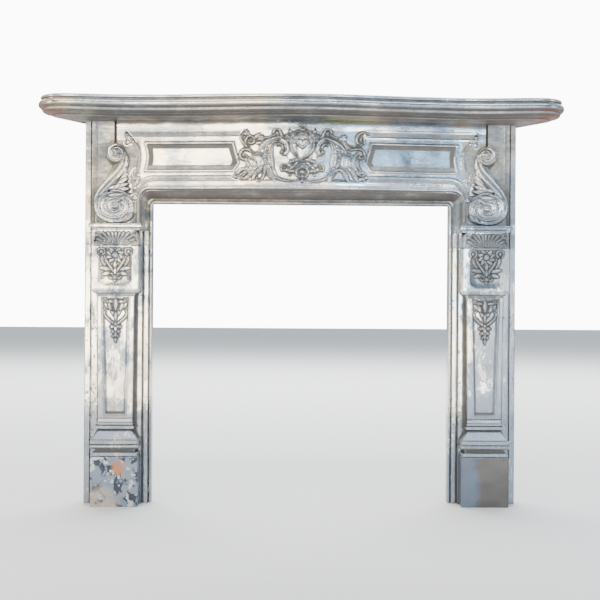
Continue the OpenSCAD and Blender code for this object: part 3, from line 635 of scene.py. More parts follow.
# ---------------------------------------------------------------- jambs
def pilaster_profile():
    """(height, half width) up the pilaster, with the base and neck mouldings."""
    p = [(0, 69.8), (1.5, 71.3), (148.5, 71.3), (150.5, 69.6), (151, 67.5), (152.5, 69), (161, 69), (162.6, 67.6),
         (163, 60), (173, 60)]
    lo = 174.0
    p += [(lo + 7 + 7 * math.sin(a), 67 + 7 * math.cos(a)) for a in np.radians(np.linspace(-85, 85, 15))]
    p += [(lo + 14.2, 70.5), (lo + 15, 72), (lo + 26, 72), (lo + 27, 70.4)]
    p += [(lo + 27.5 + 30 * math.sin(a), 47 + 22 * (1 - math.sin(a))) for a in np.radians(np.linspace(0, 78, 14))]
    p += [(232, 47), (232.3, 54), (234, 56.6), (242, 56.6), (243, 54), (243.2, 50.5), (245, 54), (251, 54), (252, 52)]
    p += [(252.5 + 13 * math.sin(a), SHAFT_FOOT - 1.5 + 2.5 * math.cos(a)) for a in np.radians(np.linspace(0, 90, 6))]
    p += [(v, SHAFT_FOOT + (SHAFT_HALF - SHAFT_FOOT) * (v - BASE_H) / (SHAFT_TOP - BASE_H)) for v in (BASE_H, BASE_H + 24, 482)]
    p += [(SHAFT_TOP, SHAFT_HALF), (SHAFT_TOP + 1, 57.6), (SHAFT_TOP + 4, 58.3)]
    p += [(DIE_Z - 13 * math.cos(a), 58.1 + 13 * math.sin(a)) for a in np.radians(np.linspace(0, 90, 9))]
    p += [(DIE_Z + 1, 71.5), (NECK_Z - 1.5, 71.5), (NECK_Z, 70.2), (NECK_Z + 0.3, 65), (NECK_Z + 4, 65)]
    p += [(NECK_Z + 4.5 + 28 * math.sin(a), 57.5 + 6.5 * (1 - math.sin(a))) for a in np.radians(np.linspace(0, 90, 9))]
    p += [(JOINT, 58)]
    return p


def sunk(s, bead=2.6, bead_h=1.6, cove=7.0, depth=6.0):
    """Height of a sunk panel's edge at distance s inside its frame line: a bead, a cove, then the flat."""
    t = np.clip((s - bead) / cove, 0, 1)
    return bead_h * np.sqrt(np.clip(1 - (s / bead) ** 2, 0, 1)) - depth * np.sin(t * np.pi / 2)


def pilaster_relief():
    """Carving on the pilaster's face: neck, die and shaft, as heights over (u, z)."""
    r = Relief(-74, 74, 255, JOINT, 0.9, 1.4)
    ground = np.zeros(r.X.shape)
    x, z = r.X, r.Z
    # die panel with clipped lower corners
    z0, z1, w, c = DIE_Z + 7, NECK_Z - 5, 52.5, 11
    die = sd_poly(x, z, [(-w, z1), (-w, z0 + c), (-w + 5, z0 + c), (-w + 5, z0 + 5), (-w + c + 3, z0 + 5), (-w + c + 3, z0),
                         (w - c - 3, z0), (w - c - 3, z0 + 5), (w - 5, z0 + 5), (w - 5, z0 + c), (w, z0 + c), (w, z1)])
    ground += np.where(die < 2, sunk(-die, 2.0, 0.0, 24.0, 3.6), 0)
    # long shaft panel
    z0, z1 = BASE_H + 8.5, SHAFT_TOP - 7
    shaft = sd_poly(x, z, [(-32, z0), (32, z0), (41.5, z1), (-41.5, z1)])
    ground += np.where(shaft < 3, sunk(-shaft, 2.2, 1.0, 5.0, 5.5), 0)

    # daisy, buttons, crossed stems and hanging leaves on the die
    def fixed(zc, s):
        def leaf(u, w, a, length, half, h, turn=0.0):
            r.leaf((s * u, zc + w), a if s > 0 else 180 - a, length, half, h, turn * s, kind="petal")

        def line(pts, w, h):
            r.stroke([(s * u, zc + v) for u, v in pts], w, h)

        return leaf, line

    zc = NECK_Z - 20
    for s in (-1, 1):
        leaf, line = fixed(zc, s)
        leaf(16, -52, 22, 33, 6.4, 6.0, -26)
        leaf(14, -61, -4, 27, 6.0, 6.0, -22)
        leaf(41, -12, -116, 33, 6.6, 6.2, 10)
        leaf(32, -20, -132, 27, 5.2, 6.0, 16)
        leaf(24, 13, 62, 20, 5.0, 5.0, -50)
        line([(31, -12), (26, -24), (16, -40), (4, -57), (0, -66)], (3.4, 4.2, 4.2, 3.6), (6, 7, 7, 6))
        line(arc((12, -70), 7.0, 70, 330, 14), (2.4, 3.2, 2.8), 6.0)
        line(arc((41, 3), 10.2, -60, 250, 24), (2.6, 4.0, 4.0, 3.0), 6.0)
        r.boss((s * 41, zc + 3), 6.0, 8.0)
    for i in range(10):
        r.leaf((0, zc - 7), 36 * i + 90, 29, 7.0, 6.0, kind="petal")
    r.boss((0, zc - 7), 10, 9.0, power=0.45)
    r.leaf((0, zc - 26), 270, 26, 5.4, 6, kind="petal")
    r.leaf((0, zc - 46), 270, 22, 4.6, 6, kind="petal")
    r.leaf((0, zc - 76), 270, 14, 4.5, 6, kind="petal")
    r.boss((0, zc - 74), 6.5, 8.5)
    # spray, crossed ribbon and husks at the head of the shaft
    zc = SHAFT_TOP
    for s in (-1, 1):
        leaf, line = fixed(zc, s)
        leaf(8, -20, 8, 25, 5.0, 5.4, -30)
        leaf(33, -24, 232, 30, 6.0, 6.0, -34)
        leaf(20, -24, 262, 26, 5.4, 5.8, -26)
        line([(28, -44), (34, -52), (30, -64), (18, -76), (4, -87), (-8, -96)], (2.4, 3.8, 4.2, 4.0, 3.2), (5, 6.4, 6.6, 6, 5))
        leaf(3, -62, 62, 20, 4.6, 6.0, -30)
        leaf(3, -94, -14, 17, 5.4, 6.0, 20)
        leaf(2, -106, -34, 15, 4.6, 5.6, 26)
        leaf(2, -120, -40, 12, 4.0, 5.4, 26)
        line(arc((32, -13), 5.4, 0, 360, 20), 3.0, 5.4)
        r.boss((s * 32, zc - 13), 3.2, 7.0)
    r.leaf((0, zc - 10), 270, 38, 6.4, 6.2, kind="petal")
    r.leaf((0, zc - 52), 270, 26, 5.0, 6.2, kind="petal")
    r.boss((0, zc - 88), 5.5, 7.6)
    for i in range(3):
        r.leaf((0, zc - 94 - 17 * i), 270, 21 - 2 * i, 5.0 - 0.7 * i, 6.2, kind="petal")
    carve = r.H.copy()
    inside = (die < -1) | (shaft < -2)
    r.H = np.where(inside & (carve > -1.4), np.maximum(ground, ground + carve), ground)
    # fan of rays in the neck, with a small leaf either side
    zb = NECK_Z + 5
    fan = Relief(-74, 74, 255, JOINT, 0.9, 0.9)
    for i in range(-5, 6):
        a = 90 - 14 * i
        length = min(35 / max(math.sin(math.radians(a)), 0.05), 44 / max(abs(math.cos(math.radians(a))), 0.05))
        fan.stroke(bend((2.2 * i, zb), a, length, 0), (1.4, 2.6, 3.8), (1.4, 2.6, 3.2), "petal")
    for s in (-1, 1):
        fan.leaf((s * 22, zb + 2), 90 - s * 52, 25, 5.0, 4.0, s * -50)
        fan.leaf((s * 24, zb), 90 - s * 84, 22, 4.4, 4.0, s * 34)
        fan.boss((s * 33, zb + 10), 5.0, 4.6)
        fan.leaf((s * 4, zb), 90 - s * 34, 16, 4.0, 4.4, s * 30)
    fan.leaf((0, zb - 2), 90, 20, 4.4, 4.8)
    band = (z > NECK_Z + 4) & (z < JOINT - 1) & (fan.H > -1)
    r.H = np.where(band, np.maximum(r.H, fan.H), r.H)
    # painted shade in the carving's hollows and round its raised parts, partly grime
    rise = np.where(inside, np.clip(carve, 0, None), np.where(band, np.clip(fan.H, 0, None) * 1.6, 0))
    near = np.clip(2.4 * blur((rise > 1.0).astype(float), 3), 0, 1)
    dirt_and_shade = np.clip((blur(rise, 2) - rise) / 1.7, 0, 1) + 0.5 * near * np.clip(1 - rise / 2.5, 0, 1)
    r.soften(1)
    soil_and_shade = Relief(-74, 74, 255, JOINT, 0.9)
    soil_and_shade.H = np.clip(dirt_and_shade, 0, 1)
    return r, soil_and_shade


RELIEF, SOIL_AND_SHADE = pilaster_relief()


def chips(x, z, seed, n, x0, x1, z0, z1, size=(1.0, 3.2)):
    """Small dents scattered over a strip: how deep each point lies in one, from 0 to 1."""
    g = np.random.default_rng(seed)
    out = np.zeros(np.broadcast(x, z).shape)
    for _ in range(n):
        cx, cz = g.uniform(x0, x1), g.uniform(z0, z1)
        rx, rz = g.uniform(*size), g.uniform(*size) * 1.3
        v = ((x - cx) / rx) ** 2 + ((z - cz) / rz) ** 2
        out = np.maximum(out, np.clip(1 - v, 0, 1))
    return out


def jamb(side):
    prof = pilaster_profile()
    rows = []
    for (za, ha), (zb, hb) in zip(prof, prof[1:]):
        pitch = 4.5 if zb < 150 else (1.55 if zb <= BASE_H + 24 else (3.0 if zb <= 482 else 1.22))
        n = max(1, int(math.ceil(abs(zb - za) / pitch)))
        rows += [(za + (zb - za) * k / n, ha + (hb - ha) * k / n) for k in range(n)]
    rows.append(prof[-1])
    z = np.array([r[0] for r in rows])
    half = np.array([r[1] for r in rows])
    face_d = LEAD + half
    one = np.ones(len(z))
    X, D = [], []

    def line(xa, da, xb, db, n, last=False):
        for k in range(n + (1 if last else 0)):
            X.append(xa * one + (xb - xa) * one * k / n)
            D.append(da * one + (db - da) * one * k / n)

    x0 = OPEN_W
    e0, e1 = AXIS - half, AXIS + half
    line(x0, 0, x0, SLIP_D, 5)
    for a in np.radians(np.linspace(180, 0, 9)):
        X.append((x0 + 4 + 4 * math.cos(a)) * one)
        D.append((SLIP_D + 4 * math.sin(a)) * one)
    for xa, da in ((x0 + 8, SLIP_D - 3), (x0 + 10, SLIP_D - 3), (x0 + 10.3, SLIP_D + 8), (x0 + 12, SLIP_D + 10)):
        X.append(xa * one)
        D.append(da * one)
    line(x0 + 13, SLIP_D + 10, x0 + 24.5, SLIP_D + 10, 6)
    for xa, da in ((x0 + 25.5, SLIP_D + 9), (x0 + 26, SLIP_D + 5), (x0 + 28, SLIP_D + 5), (x0 + 28.3, BACK_D - 2), (x0 + 29, BACK_D)):
        X.append(xa * one)
        D.append(da * one)
    xi = np.maximum(e0, x0 + 29.2)
    line(x0 + 29, BACK_D, xi, BACK_D, 5)
    line(xi, BACK_D, e0, face_d - 1.5, 7)
    for a in np.radians(np.linspace(0, 90, 4)):
        X.append(e0 + 1.5 - 1.5 * math.cos(a))
        D.append(face_d - 1.5 + 1.5 * math.sin(a))
    nf = 114
    face0 = len(X)
    for k in range(1, nf):
        X.append(e0 + 1.5 + (e1 - e0 - 3) * k / nf)
        D.append(face_d.copy())
    face1 = len(X)
    for a in np.radians(np.linspace(90, 0, 4)):
        X.append(e1 - 1.5 + 1.5 * math.cos(a))
        D.append(face_d - 1.5 + 1.5 * math.sin(a))
    g0 = LEGS - STRIP_W - 4
    line(e1, face_d - 3, e1, BACK_D, 7)
    line(e1, BACK_D, g0, BACK_D, 14)
    for xa, da in ((g0, BACK_D - 1), (g0 + 0.3, BACK_D - 12), (g0 + 3.7, BACK_D - 12), (g0 + 4, STRIP_D - 1), (g0 + 5, STRIP_D)):
        X.append(xa * one)
        D.append(da * one)
    line(g0 + 6, STRIP_D, LEGS - 2, STRIP_D, 9)
    for xa, da in ((LEGS - 2, STRIP_D), (LEGS - 0.8, STRIP_D - 0.6), (LEGS, STRIP_D - 2)):
        X.append(xa * one)
        D.append(da * one)
    line(LEGS, STRIP_D - 5, LEGS, 0, 5, True)
    X, D = np.array(X).T, np.array(D).T
    Z = np.repeat(z[:, None], X.shape[1], 1)
    rel = RELIEF.at(X - AXIS, Z)
    rel[:, :face0] = 0
    rel[:, face1:] = 0
    D = D + rel
    # polishing waves, and dents in the outer strips
    front = D > 20
    D = D + waves(X * side, D, Z, 0.22) * front
    wear = chips(X, Z, 11 + side, 60 if side < 0 else 34, LEGS - 48, LEGS + 1, 140, 600, (0.9, 3.0))
    wear = np.maximum(wear, chips(X, Z, 31 + side, 26, x0 + 2, x0 + 34, 60, 780, (0.8, 2.2)))
    wear = np.maximum(wear, chips(X, Z, 51 + side, 16, AXIS - 70, AXIS + 70, 4, 150, (0.8, 2.4)) * 0.8)
    D = D - 1.1 * wear * front
    P = np.stack([X * side, D, Z], -1)
    # hollows darkened: painted shade, partly grime
    grime = hollows(P if side > 0 else P[:, ::-1])
    strips = hollows(P if side > 0 else P[:, ::-1], (1,), (1.3,))
    if side < 0:
        grime, strips = grime[:, ::-1], strips[:, ::-1]
    grime = np.where((X < x0 + 28) | (X > LEGS - STRIP_W), strips, grime)
    soil_and_shade = SOIL_AND_SHADE.at(X - AXIS, Z)
    soil_and_shade[:, :face0] = 0
    soil_and_shade[:, face1:] = 0
    grime = np.where(soil_and_shade > 0.02, 0.25, 0.7) * np.clip(grime, 0, 1) + 0.85 * soil_and_shade
    # painted shadow under the cap, across the neck
    grime = np.maximum(grime, 0.36 * step((Z - NECK_Z - 1) / 4) * (Z < JOINT - 2))
    grime = np.clip(grime, 0, 1)
    parts = [(P, grid_faces(*X.shape, flip=side < 0), grime, wear)]
    # sole, top and hollow back
    for row, zz, up in ((0, 0.0, False), (-1, JOINT, True)):
        front_pts = P[row].copy()
        back_pts = front_pts.copy()
        back_pts[:, 1] = 0
        pts = np.stack([front_pts, back_pts])
        # painted shade on the sole and top
        parts.append((pts, grid_faces(2, len(front_pts), flip=(up == (side > 0))), np.full(2 * len(front_pts), 0.5), None))
    w = 7.0
    deep = {"rim": 0.0, "pil": LEAD + SHAFT_FOOT - w - 9, "mid": BACK_D - w, "out": BACK_D - 12 - w, "slip": SLIP_D - 3 - w}
    pa, pb = AXIS - SHAFT_FOOT + w + 1, AXIS + SHAFT_FOOT - w - 1
    f0, f1 = OPEN_W + 28 + w, LEGS - STRIP_W - 4 - w

    def region(x, zz):
        x = abs(x)
        if zz < 10 or zz > JOINT - w or x < OPEN_W + w or x > LEGS - w:
            return "rim"
        if pa < x < pb:
            return "pil"
        return "mid" if f0 < x < f1 else ("slip" if x <= f0 else "out")

    xs = sorted(side * v for v in (OPEN_W, OPEN_W + w, f0, pa, AXIS, pb, f1, LEGS - w, LEGS))
    zs = [0, 10] + list(np.linspace(60, JOINT - 40, 16)) + [JOINT - w, JOINT]
    parts.append(shell_back(xs, zs, region, lambda r, x: deep[r], lambda x, zz: True))
    name = "right_jamb" if side > 0 else "left_jamb"
    v, q, g, wr = join(parts)
    ob = put(name + "_casting", v, q, name, 38, {"grime": g, "wear": wr})
    # scroll brackets either side of the neck
    for s in (-1, 1):
        out = [(57 + 4, NECK_Z + 46), (57 + 9, NECK_Z + 42)]
        bracket(f"{name}_bracket_{'outer' if s > 0 else 'inner'}", side, s)
    return ob


def bracket(name, side, s):
    """A small scroll bracket at one side of the neck: a C-shaped ribbon drawn in front view and pulled to depth."""
    line = np.vstack([spiral((55.5, NECK_Z + 37), 3.0, 6.5, 420, 60, 22), arc((50, NECK_Z + 22), 14.5, 40, -30, 8),
                      spiral((60.5, NECK_Z + 9.5), 6.5, 2.5, 110, -270, 22)])
    t = np.gradient(line, axis=0)
    t /= np.linalg.norm(t, axis=1, keepdims=True)
    nrm = np.c_[-t[:, 1], t[:, 0]]
    d1 = LEAD + 66.0
    sec = [(-3.8, 50.0), (-3.8, d1 - 2), (-2.2, d1), (2.2, d1), (3.8, d1 - 2), (3.8, 50.0)]
    P = np.array([[[side * (AXIS + s * (p[0] + n[0] * a)), d, p[1] + n[1] * a] for a, d in sec] for p, n in zip(line, nrm)])
    # painted shade over the whole bracket, in the shadowed neck
    grime = np.repeat((np.linspace(0, 1, len(line))[:, None] * 0 + 0.45), len(sec), 1)
    put(name, P, grid_faces(len(line), len(sec), flip=(side * s > 0)), None, 50, {"grime": grime})


jamb(1)
jamb(-1)


# ---------------------------------------------------------------- frieze plate
def s_line(n=44):
    """Middle line of the console's S, across from the pilaster's axis."""
    t = np.linspace(0, 1, n)
    u = -29 + 87 * (1 - np.cos(np.pi * np.clip((t - 0.06) / 0.78, 0, 1))) / 2 - 9 * np.clip((t - 0.84) / 0.16, 0, 1) ** 2
    return np.c_[u, TOP_Z - 6 - 176 * t]


S = s_line()


def arch_sd(x, z, w, h, r):
    """Signed distance to the opening's outline: positive in the metal."""
    ax = np.abs(x)
    qx, qz = ax - (w - r), z - (h - r)
    return np.where((qx > 0) & (qz > 0), np.hypot(qx, qz) - r, np.maximum(ax - w, z - h))


def half_front():
    pts = [(0, CAP_Z - 30), (AXIS + 54, CAP_Z - 30), (AXIS + 54, LOW_Z)]
    pts += [(AXIS + u, z) for u, z in S[::-1] if z > LOW_Z]
    pts += [(AXIS - 27, TOP_Z), (FRONT_HALF, TOP_Z), (FRONT_HALF, FRIEZE_TOP + 20), (0, FRIEZE_TOP + 20)]
    return pts


def panel_pts():
    x0, x1 = 207.0, FRONT_HALF - 86
    z0, z1 = FRIEZE_LO + 54, FRIEZE_TOP - 68
    zm = z0 + (z1 - z0) * 0.3
    p = [(x0, z1), (x0 - 17, zm), (x0, z0), (x1, z0)]
    p += [(x1 - 9 * math.sin(math.pi * t), z0 + (z1 - z0) * t) for t in np.linspace(0.1, 0.9, 9)]
    return p + [(x1, z1)]


def lower_band():
    """Middle line of the groove over the opening, turned down at its end."""
    r, zl, xb = 50.0, FRIEZE_LO + 31, FRONT_OPEN + 6
    return np.vstack([[(198, zl), (xb - r, zl)], arc((xb - r, zl - r), r, 80, 0, 10), [(xb + 3, zl - r - 12)]])


def frieze_depth(X, Z):
    """Depth of the frieze's surface in front of the wall."""
    ax = np.abs(X)
    front = sd_poly(ax, Z, half_front())
    face = FRIEZE_D + bow(X)
    # frames, bands and panels on the front, with every flat slightly pillowed
    zb = FRIEZE_TOP - 32
    xe = FRONT_HALF - 30
    deco = 1.5 * np.sin(np.pi * np.clip((Z - zb) / 32, 0, 1)) + 1.0 * np.sin(np.pi * np.clip((Z - FRIEZE_LO - 9) / 22, 0, 1))
    band = np.maximum.reduce([ax - xe, 190 - ax, zb - 18 - Z, Z - zb])
    cove = np.sin(np.pi * np.clip((Z - zb + 18) / 18, 0, 1))
    deco += np.where(band < 0, -4.5 * cove * step(-band / 3.0), 0) + 0.9 * np.exp(-(((band - 1.2) / 1.6) ** 2))
    d, t, side = sd_line(ax, Z, lower_band())
    deco = deco - 3.6 * np.clip(1 - (d / 6.4) ** 2, 0, 1) ** 0.7 + 0.9 * np.exp(-(((d - 8.0) / 1.6) ** 2))
    arch = arch_sd(X, Z, FRONT_OPEN, FRIEZE_LO, 30)
    deco = np.maximum(deco, 3.4 * np.sqrt(np.clip(1 - ((arch - 4.8) / 5.2) ** 2, 0, 1))) - 0.8 * np.exp(-(((arch - 10.8) / 1.2) ** 2))
    s = -sd_poly(ax, Z, panel_pts())
    sunk_flat = -9.5 * np.clip((s - 4.5) / 14.0, 0, 1) + 1.4 * step((s - 20) / 10)
    frame = 3.4 * np.sqrt(np.clip(1 - ((s - 1.5) / 4.4) ** 2, 0, 1))
    pillow = 1.2 * np.sin(np.pi * np.clip((Z - FRIEZE_LO - 72) / 50, 0, 1)) * step((s - 18) / 8)
    deco = np.where(s > -3.0, np.maximum(deco * (s < 0), 0) * 0.4 + frame + sunk_flat + pillow, deco)
    # the frame line bent round beside the console
    pc = np.array([(516, 1101), (503, 1092), (494, 1078), (491, 1060), (492, 1040), (497, 1018), (505, 998), (514, 981), (524, 966)]) - (0, 957)
    d, t, side = sd_line(ax, Z, pc + (0, FRIEZE_LO))
    deco = np.maximum(deco, 3.4 * np.clip(1 - (d / 5.2) ** 2, 0, 1) ** 0.6)
    # outer back panel: faint border, and the deep groove beside the step
    back = np.full(X.shape, BACK_D)
    d = np.minimum(np.abs(ax - 625) + np.where(Z < 985, 9, 0), 9)
    d2, _, _ = sd_line(ax, Z, arc((AXIS, TOP_Z), 42, 70, -40, 20))
    back = back + 1.3 * np.exp(-((np.minimum(d, d2) / 2.2) ** 2))
    gap = (ax - FRONT_HALF - 4.5) / 4.0
    back = back - 16 * np.clip(1 - gap**2, 0, 1) ** 0.4 * step((Z - TOP_Z - 22) / 8)
    # the strip's groove, and the strip
    g0 = LEGS - STRIP_W - 4
    back = back - 12 * step((ax - g0) / 0.8) + (12 - BACK_D + STRIP_D) * step((ax - g0 - 3.6) / 0.8)
    back = back - 1.6 * step((ax - LEGS + 1.6) / 1.6)
    depth = back + (face + deco - back) * step(0.5 - front / 1.6)
    # splayed soffit and reveals, slip and bead
    k = np.clip((arch_sd(X, Z, OPEN_W + SLIP_W, OPEN_H + SLIP_W, 12) - 0.0) / (FRONT_OPEN - OPEN_W - SLIP_W), 0, 1)
    up = np.clip((Z - OPEN_H - SLIP_W) / (FRIEZE_LO - OPEN_H - SLIP_W), 0, 1)
    k = np.maximum(k, np.where(ax < OPEN_W, up, k))
    splay = SLIP_D + (FRIEZE_D - 8 - SLIP_D) * k
    depth = splay + (depth - splay) * step(0.5 + arch / 1.4)
    b = arch_sd(X, Z, OPEN_W, OPEN_H, 7)
    bead = SLIP_D + BEAD_P * np.sqrt(np.clip(1 - ((b - 4) / 4.2) ** 2, 0, 1)) - 3 * np.exp(-(((b - 9.3) / 1.1) ** 2))
    depth = np.where(b < 12, np.where(arch > 0, depth, bead), depth)
    return depth


def frieze_soil_and_shade(X, Z):
    """Where the front's mouldings are darkened, partly grime and partly painted shade: the band's cove, the groove,
    the panel bevels and round the arch.
    """
    ax = np.abs(X)
    zb, xe = FRIEZE_TOP - 32, FRONT_HALF - 30
    band = np.maximum.reduce([ax - xe, 190 - ax, zb - 18 - Z, Z - zb])
    soil_and_shade = 0.46 * step(-band / 4)
    d = sd_line(ax, Z, lower_band())[0]
    soil_and_shade = np.maximum(soil_and_shade, 0.45 * step((8 - d) / 4))
    s = -sd_poly(ax, Z, panel_pts())
    low = step((FRIEZE_LO + 74 - Z) / 6)
    soil_and_shade = np.maximum(soil_and_shade, (0.72 - 0.22 * low) * step((s - 3) / 3) * step((21 - s) / 4))
    arch = arch_sd(X, Z, FRONT_OPEN, FRIEZE_LO, 30)
    return np.maximum(soil_and_shade, 0.25 * step((arch + 1) / 2) * step((11 - arch) / 3))


def frieze():
    xs = np.concatenate([np.linspace(-LEGS, -OPEN_W, 103), np.linspace(-OPEN_W, OPEN_W, 458)[1:-1], np.linspace(OPEN_W, LEGS, 103)])
    zs = np.concatenate([np.linspace(JOINT, OPEN_H, 45)[:-1], np.linspace(OPEN_H, FRIEZE_TOP, 120)])
    X, Z = np.meshgrid(xs, zs)
    D = frieze_depth(X, Z)
    wear = chips(X, Z, 5, 40, -FRONT_HALF, FRONT_HALF, FRIEZE_LO + 2, FRIEZE_TOP, (0.9, 2.4)) * 0.6
    D = D + waves(X, D, Z, 0.45) - 0.7 * wear
    xc, zc = (xs[1:] + xs[:-1]) / 2, (zs[1:] + zs[:-1]) / 2
    cx, cz = np.meshgrid(xc, zc)
    keep = ~((np.abs(cx) < OPEN_W) & (cz < OPEN_H))
    P = np.stack([X, D, Z], -1)
    # hollows darkened: painted shade, partly grime
    grime = 0.62 * np.clip(hollows(P, (1, 3), (0.8, 2.4)), 0, 1)
    # painted shade on the recessed back panels
    grime = np.maximum(grime, 0.38 * (D < BACK_D + 3) * (Z > LOW_Z - 40))
    # painted shadow in the groove beside the step
    deep = (np.abs(np.abs(X) - FRONT_HALF - 4.5) < 5.5) & (Z > TOP_Z + 18)
    grime = np.maximum(grime, deep * 0.95)
    grime = np.maximum(grime, frieze_soil_and_shade(X, Z) * (D > FRIEZE_D - 12))
    # painted shadow round the consoles on the panels behind them
    i = np.clip(np.rint((Z - CON.z[0]) / 1.1), 0, len(CON.z) - 1).astype(int)
    j = np.clip(np.rint((np.abs(X) - AXIS - CON.x[0]) / 1.1), 0, len(CON.x) - 1).astype(int)
    away = np.hypot(np.clip(np.abs(np.abs(X) - AXIS - 5) - 71, 0, None), np.clip(Z - CON.z[-1], 0, None))
    reach = 12 + 7 * step((LOW_Z + 95 - Z) / 60)
    near = np.exp(-((np.clip(CON_SD[i, j], 0, None) + away) / reach) ** 2)
    grime = np.maximum(grime, near * np.where(D < FRIEZE_D - 12, 0.85, 0.5))
    parts = [(P, grid_faces(*X.shape, keep), grime, wear)]

    # edges back to the wall
    def skirt(line, flip):
        line = np.asarray(line)
        back = line.copy()
        back[:, 1] = 0
        # painted shade on the edges back to the wall
        parts.append((np.stack([line, back]), grid_faces(2, len(line), flip=flip), np.full(2 * len(line), 0.2), None))

    i_open = 44
    j0, j1 = 102, 102 + 457
    skirt(P[:, 0], True)
    skirt(P[:, -1], False)
    skirt(P[-1], True)
    skirt(P[0, : j0 + 1], False)
    skirt(P[0, j1:], False)
    skirt(P[i_open, j0 : j1 + 1], False)
    skirt(P[: i_open + 1, j0], False)
    skirt(P[: i_open + 1, j1], True)

    w = 7.0
    inner = OPEN_W + SLIP_W + 27
    wide = AXIS - 27 - 13

    def region(x, z):
        x = abs(x)
        if x > LEGS - w or z > FRIEZE_TOP - w or z < JOINT + w:
            return "rim"
        if x < wide and z > FRIEZE_LO + w:
            return "bow"
        if x < OPEN_W:
            return "slip" if z > OPEN_H + w and z < FRIEZE_LO + w else "rim"
        if x > LEGS - STRIP_W - 13:
            return "out"
        return "mid" if x > inner else "rim"

    def depth(r, x):
        return {"rim": 0.0, "bow": FRIEZE_D + float(bow(x)) - 16, "slip": SLIP_D - w, "mid": BACK_D - w, "out": BACK_D - 12 - w}[r]

    half = sorted([OPEN_W, inner, wide, LEGS - STRIP_W - 13, LEGS - w, LEGS] + list(np.linspace(0, OPEN_W - 10, 30)[1:]))
    xs2 = [-v for v in half[::-1]] + [0.0] + half
    zs2 = [JOINT, JOINT + w, 880, OPEN_H, OPEN_H + w, FRIEZE_LO + w, 1000, 1050, 1100, FRIEZE_TOP - w, FRIEZE_TOP]
    parts.append(shell_back(xs2, zs2, region, depth, lambda x, z: not (abs(x) < OPEN_W and z < OPEN_H)))
    v, q, g, wr = join(parts)
    return put("frieze_casting", v, q, "frieze", 36, {"grime": g, "wear": wr})



def on_frieze(name, r, side=1):
    """A relief map laid on the bowed front as its own skin, with a thin raised halo on the plate round it darkened by
    painted shade.
    """
    h = np.clip(r.H, 0, None)
    near = np.clip(2.2 * blur((h > 0.8).astype(float), 3), 0, 1)
    halo = (near > 0.12) & (h < 0.25)
    H = np.where(halo, 0.28, r.H)
    live = H > 0
    cell = live[:-1, :-1] & live[1:, :-1] & live[:-1, 1:] & live[1:, 1:]
    D = FRIEZE_D + bow(r.X)
    D = D + waves(r.X * side, D, r.Z, 0.45) + np.where(live, H, 0.2)
    P = np.stack([r.X * side, D, r.Z], -1)
    # painted shade in the carving's hollows and round it
    low = np.clip((blur(h, 2) - h) / 1.6, 0, 1)
    low = np.maximum(low, np.clip((blur(h, 5) - h) / 3.2, 0, 1) * 0.8)
    grime = np.clip(0.62 * low + 0.26 * near * np.clip(1 - h / 2.5, 0, 1), 0, 1)
    grime = grime * np.clip((near - 0.12) * 3, 0, 1)
    n, m = r.X.shape
    q = grid_faces(n, m, cell, flip=side < 0)
    used = np.unique(q)
    new = np.full(n * m, -1)
    new[used] = np.arange(len(used))
    return put(name, P.reshape(-1, 3)[used], new[q], None, 60, {"grime": grime.ravel()[used]})


# ---------------------------------------------------------------- cap mouldings
def cap(side):
    prof = [(JOINT, 70), (JOINT + 3, 70.6), (JOINT + 5.5, 72), (JOINT + 7.5, 75), (JOINT + 8.8, 78.2), (JOINT + 9.4, 79),
            (JOINT + 16.5, 79), (JOINT + 18, 78.6), (JOINT + 19.6, 77.6), (CAP_Z, 76)]
    loop = []
    for z, h in prof:
        d = LEAD + h
        left, right = AXIS - 0.5 - h, AXIS - 0.5 + h
        ring = [(left, 8)] + [(left, d * k / 6) for k in range(2, 6)]
        ring += [(left + 1.5 - 1.5 * math.cos(a), d - 1.5 + 1.5 * math.sin(a)) for a in np.radians([0, 45, 90])]
        ring += [(left + (right - left) * k / 40, d) for k in range(1, 40)]
        ring += [(right - 1.5 + 1.5 * math.cos(a), d - 1.5 + 1.5 * math.sin(a)) for a in np.radians([90, 45, 0])]
        ring += [(right, d * k / 6) for k in range(5, 1, -1)] + [(right, 8)]
        loop.append([(side * x, dd, z) for x, dd in ring])
    P = np.array(loop)
    P[:, :, 1] += waves(P[:, :, 0], P[:, :, 1], P[:, :, 2], 0.3)
    # painted shade in the mouldings' hollows, partly grime
    grime = np.clip(hollows(P if side > 0 else P[:, ::-1], (1,), (1.5,)), 0, 1)
    if side < 0:
        grime = grime[:, ::-1]
    parts = [(P, grid_faces(*P.shape[:2], flip=side < 0), grime, None)]
    for row, up in ((0, False), (-1, True)):
        a = P[row]
        n = len(a)
        b = a[::-1]
        half = n // 2
        pts = np.stack([a[:half], b[:half]])
        parts.append((pts, grid_faces(2, half, flip=(up != (side > 0))), None, None))
    v, q, g, w = join(parts)
    put(f"{'right' if side > 0 else 'left'}_cap_moulding", v, q, None, 36, {"grime": g, "wear": w})


cap(1)
cap(-1)


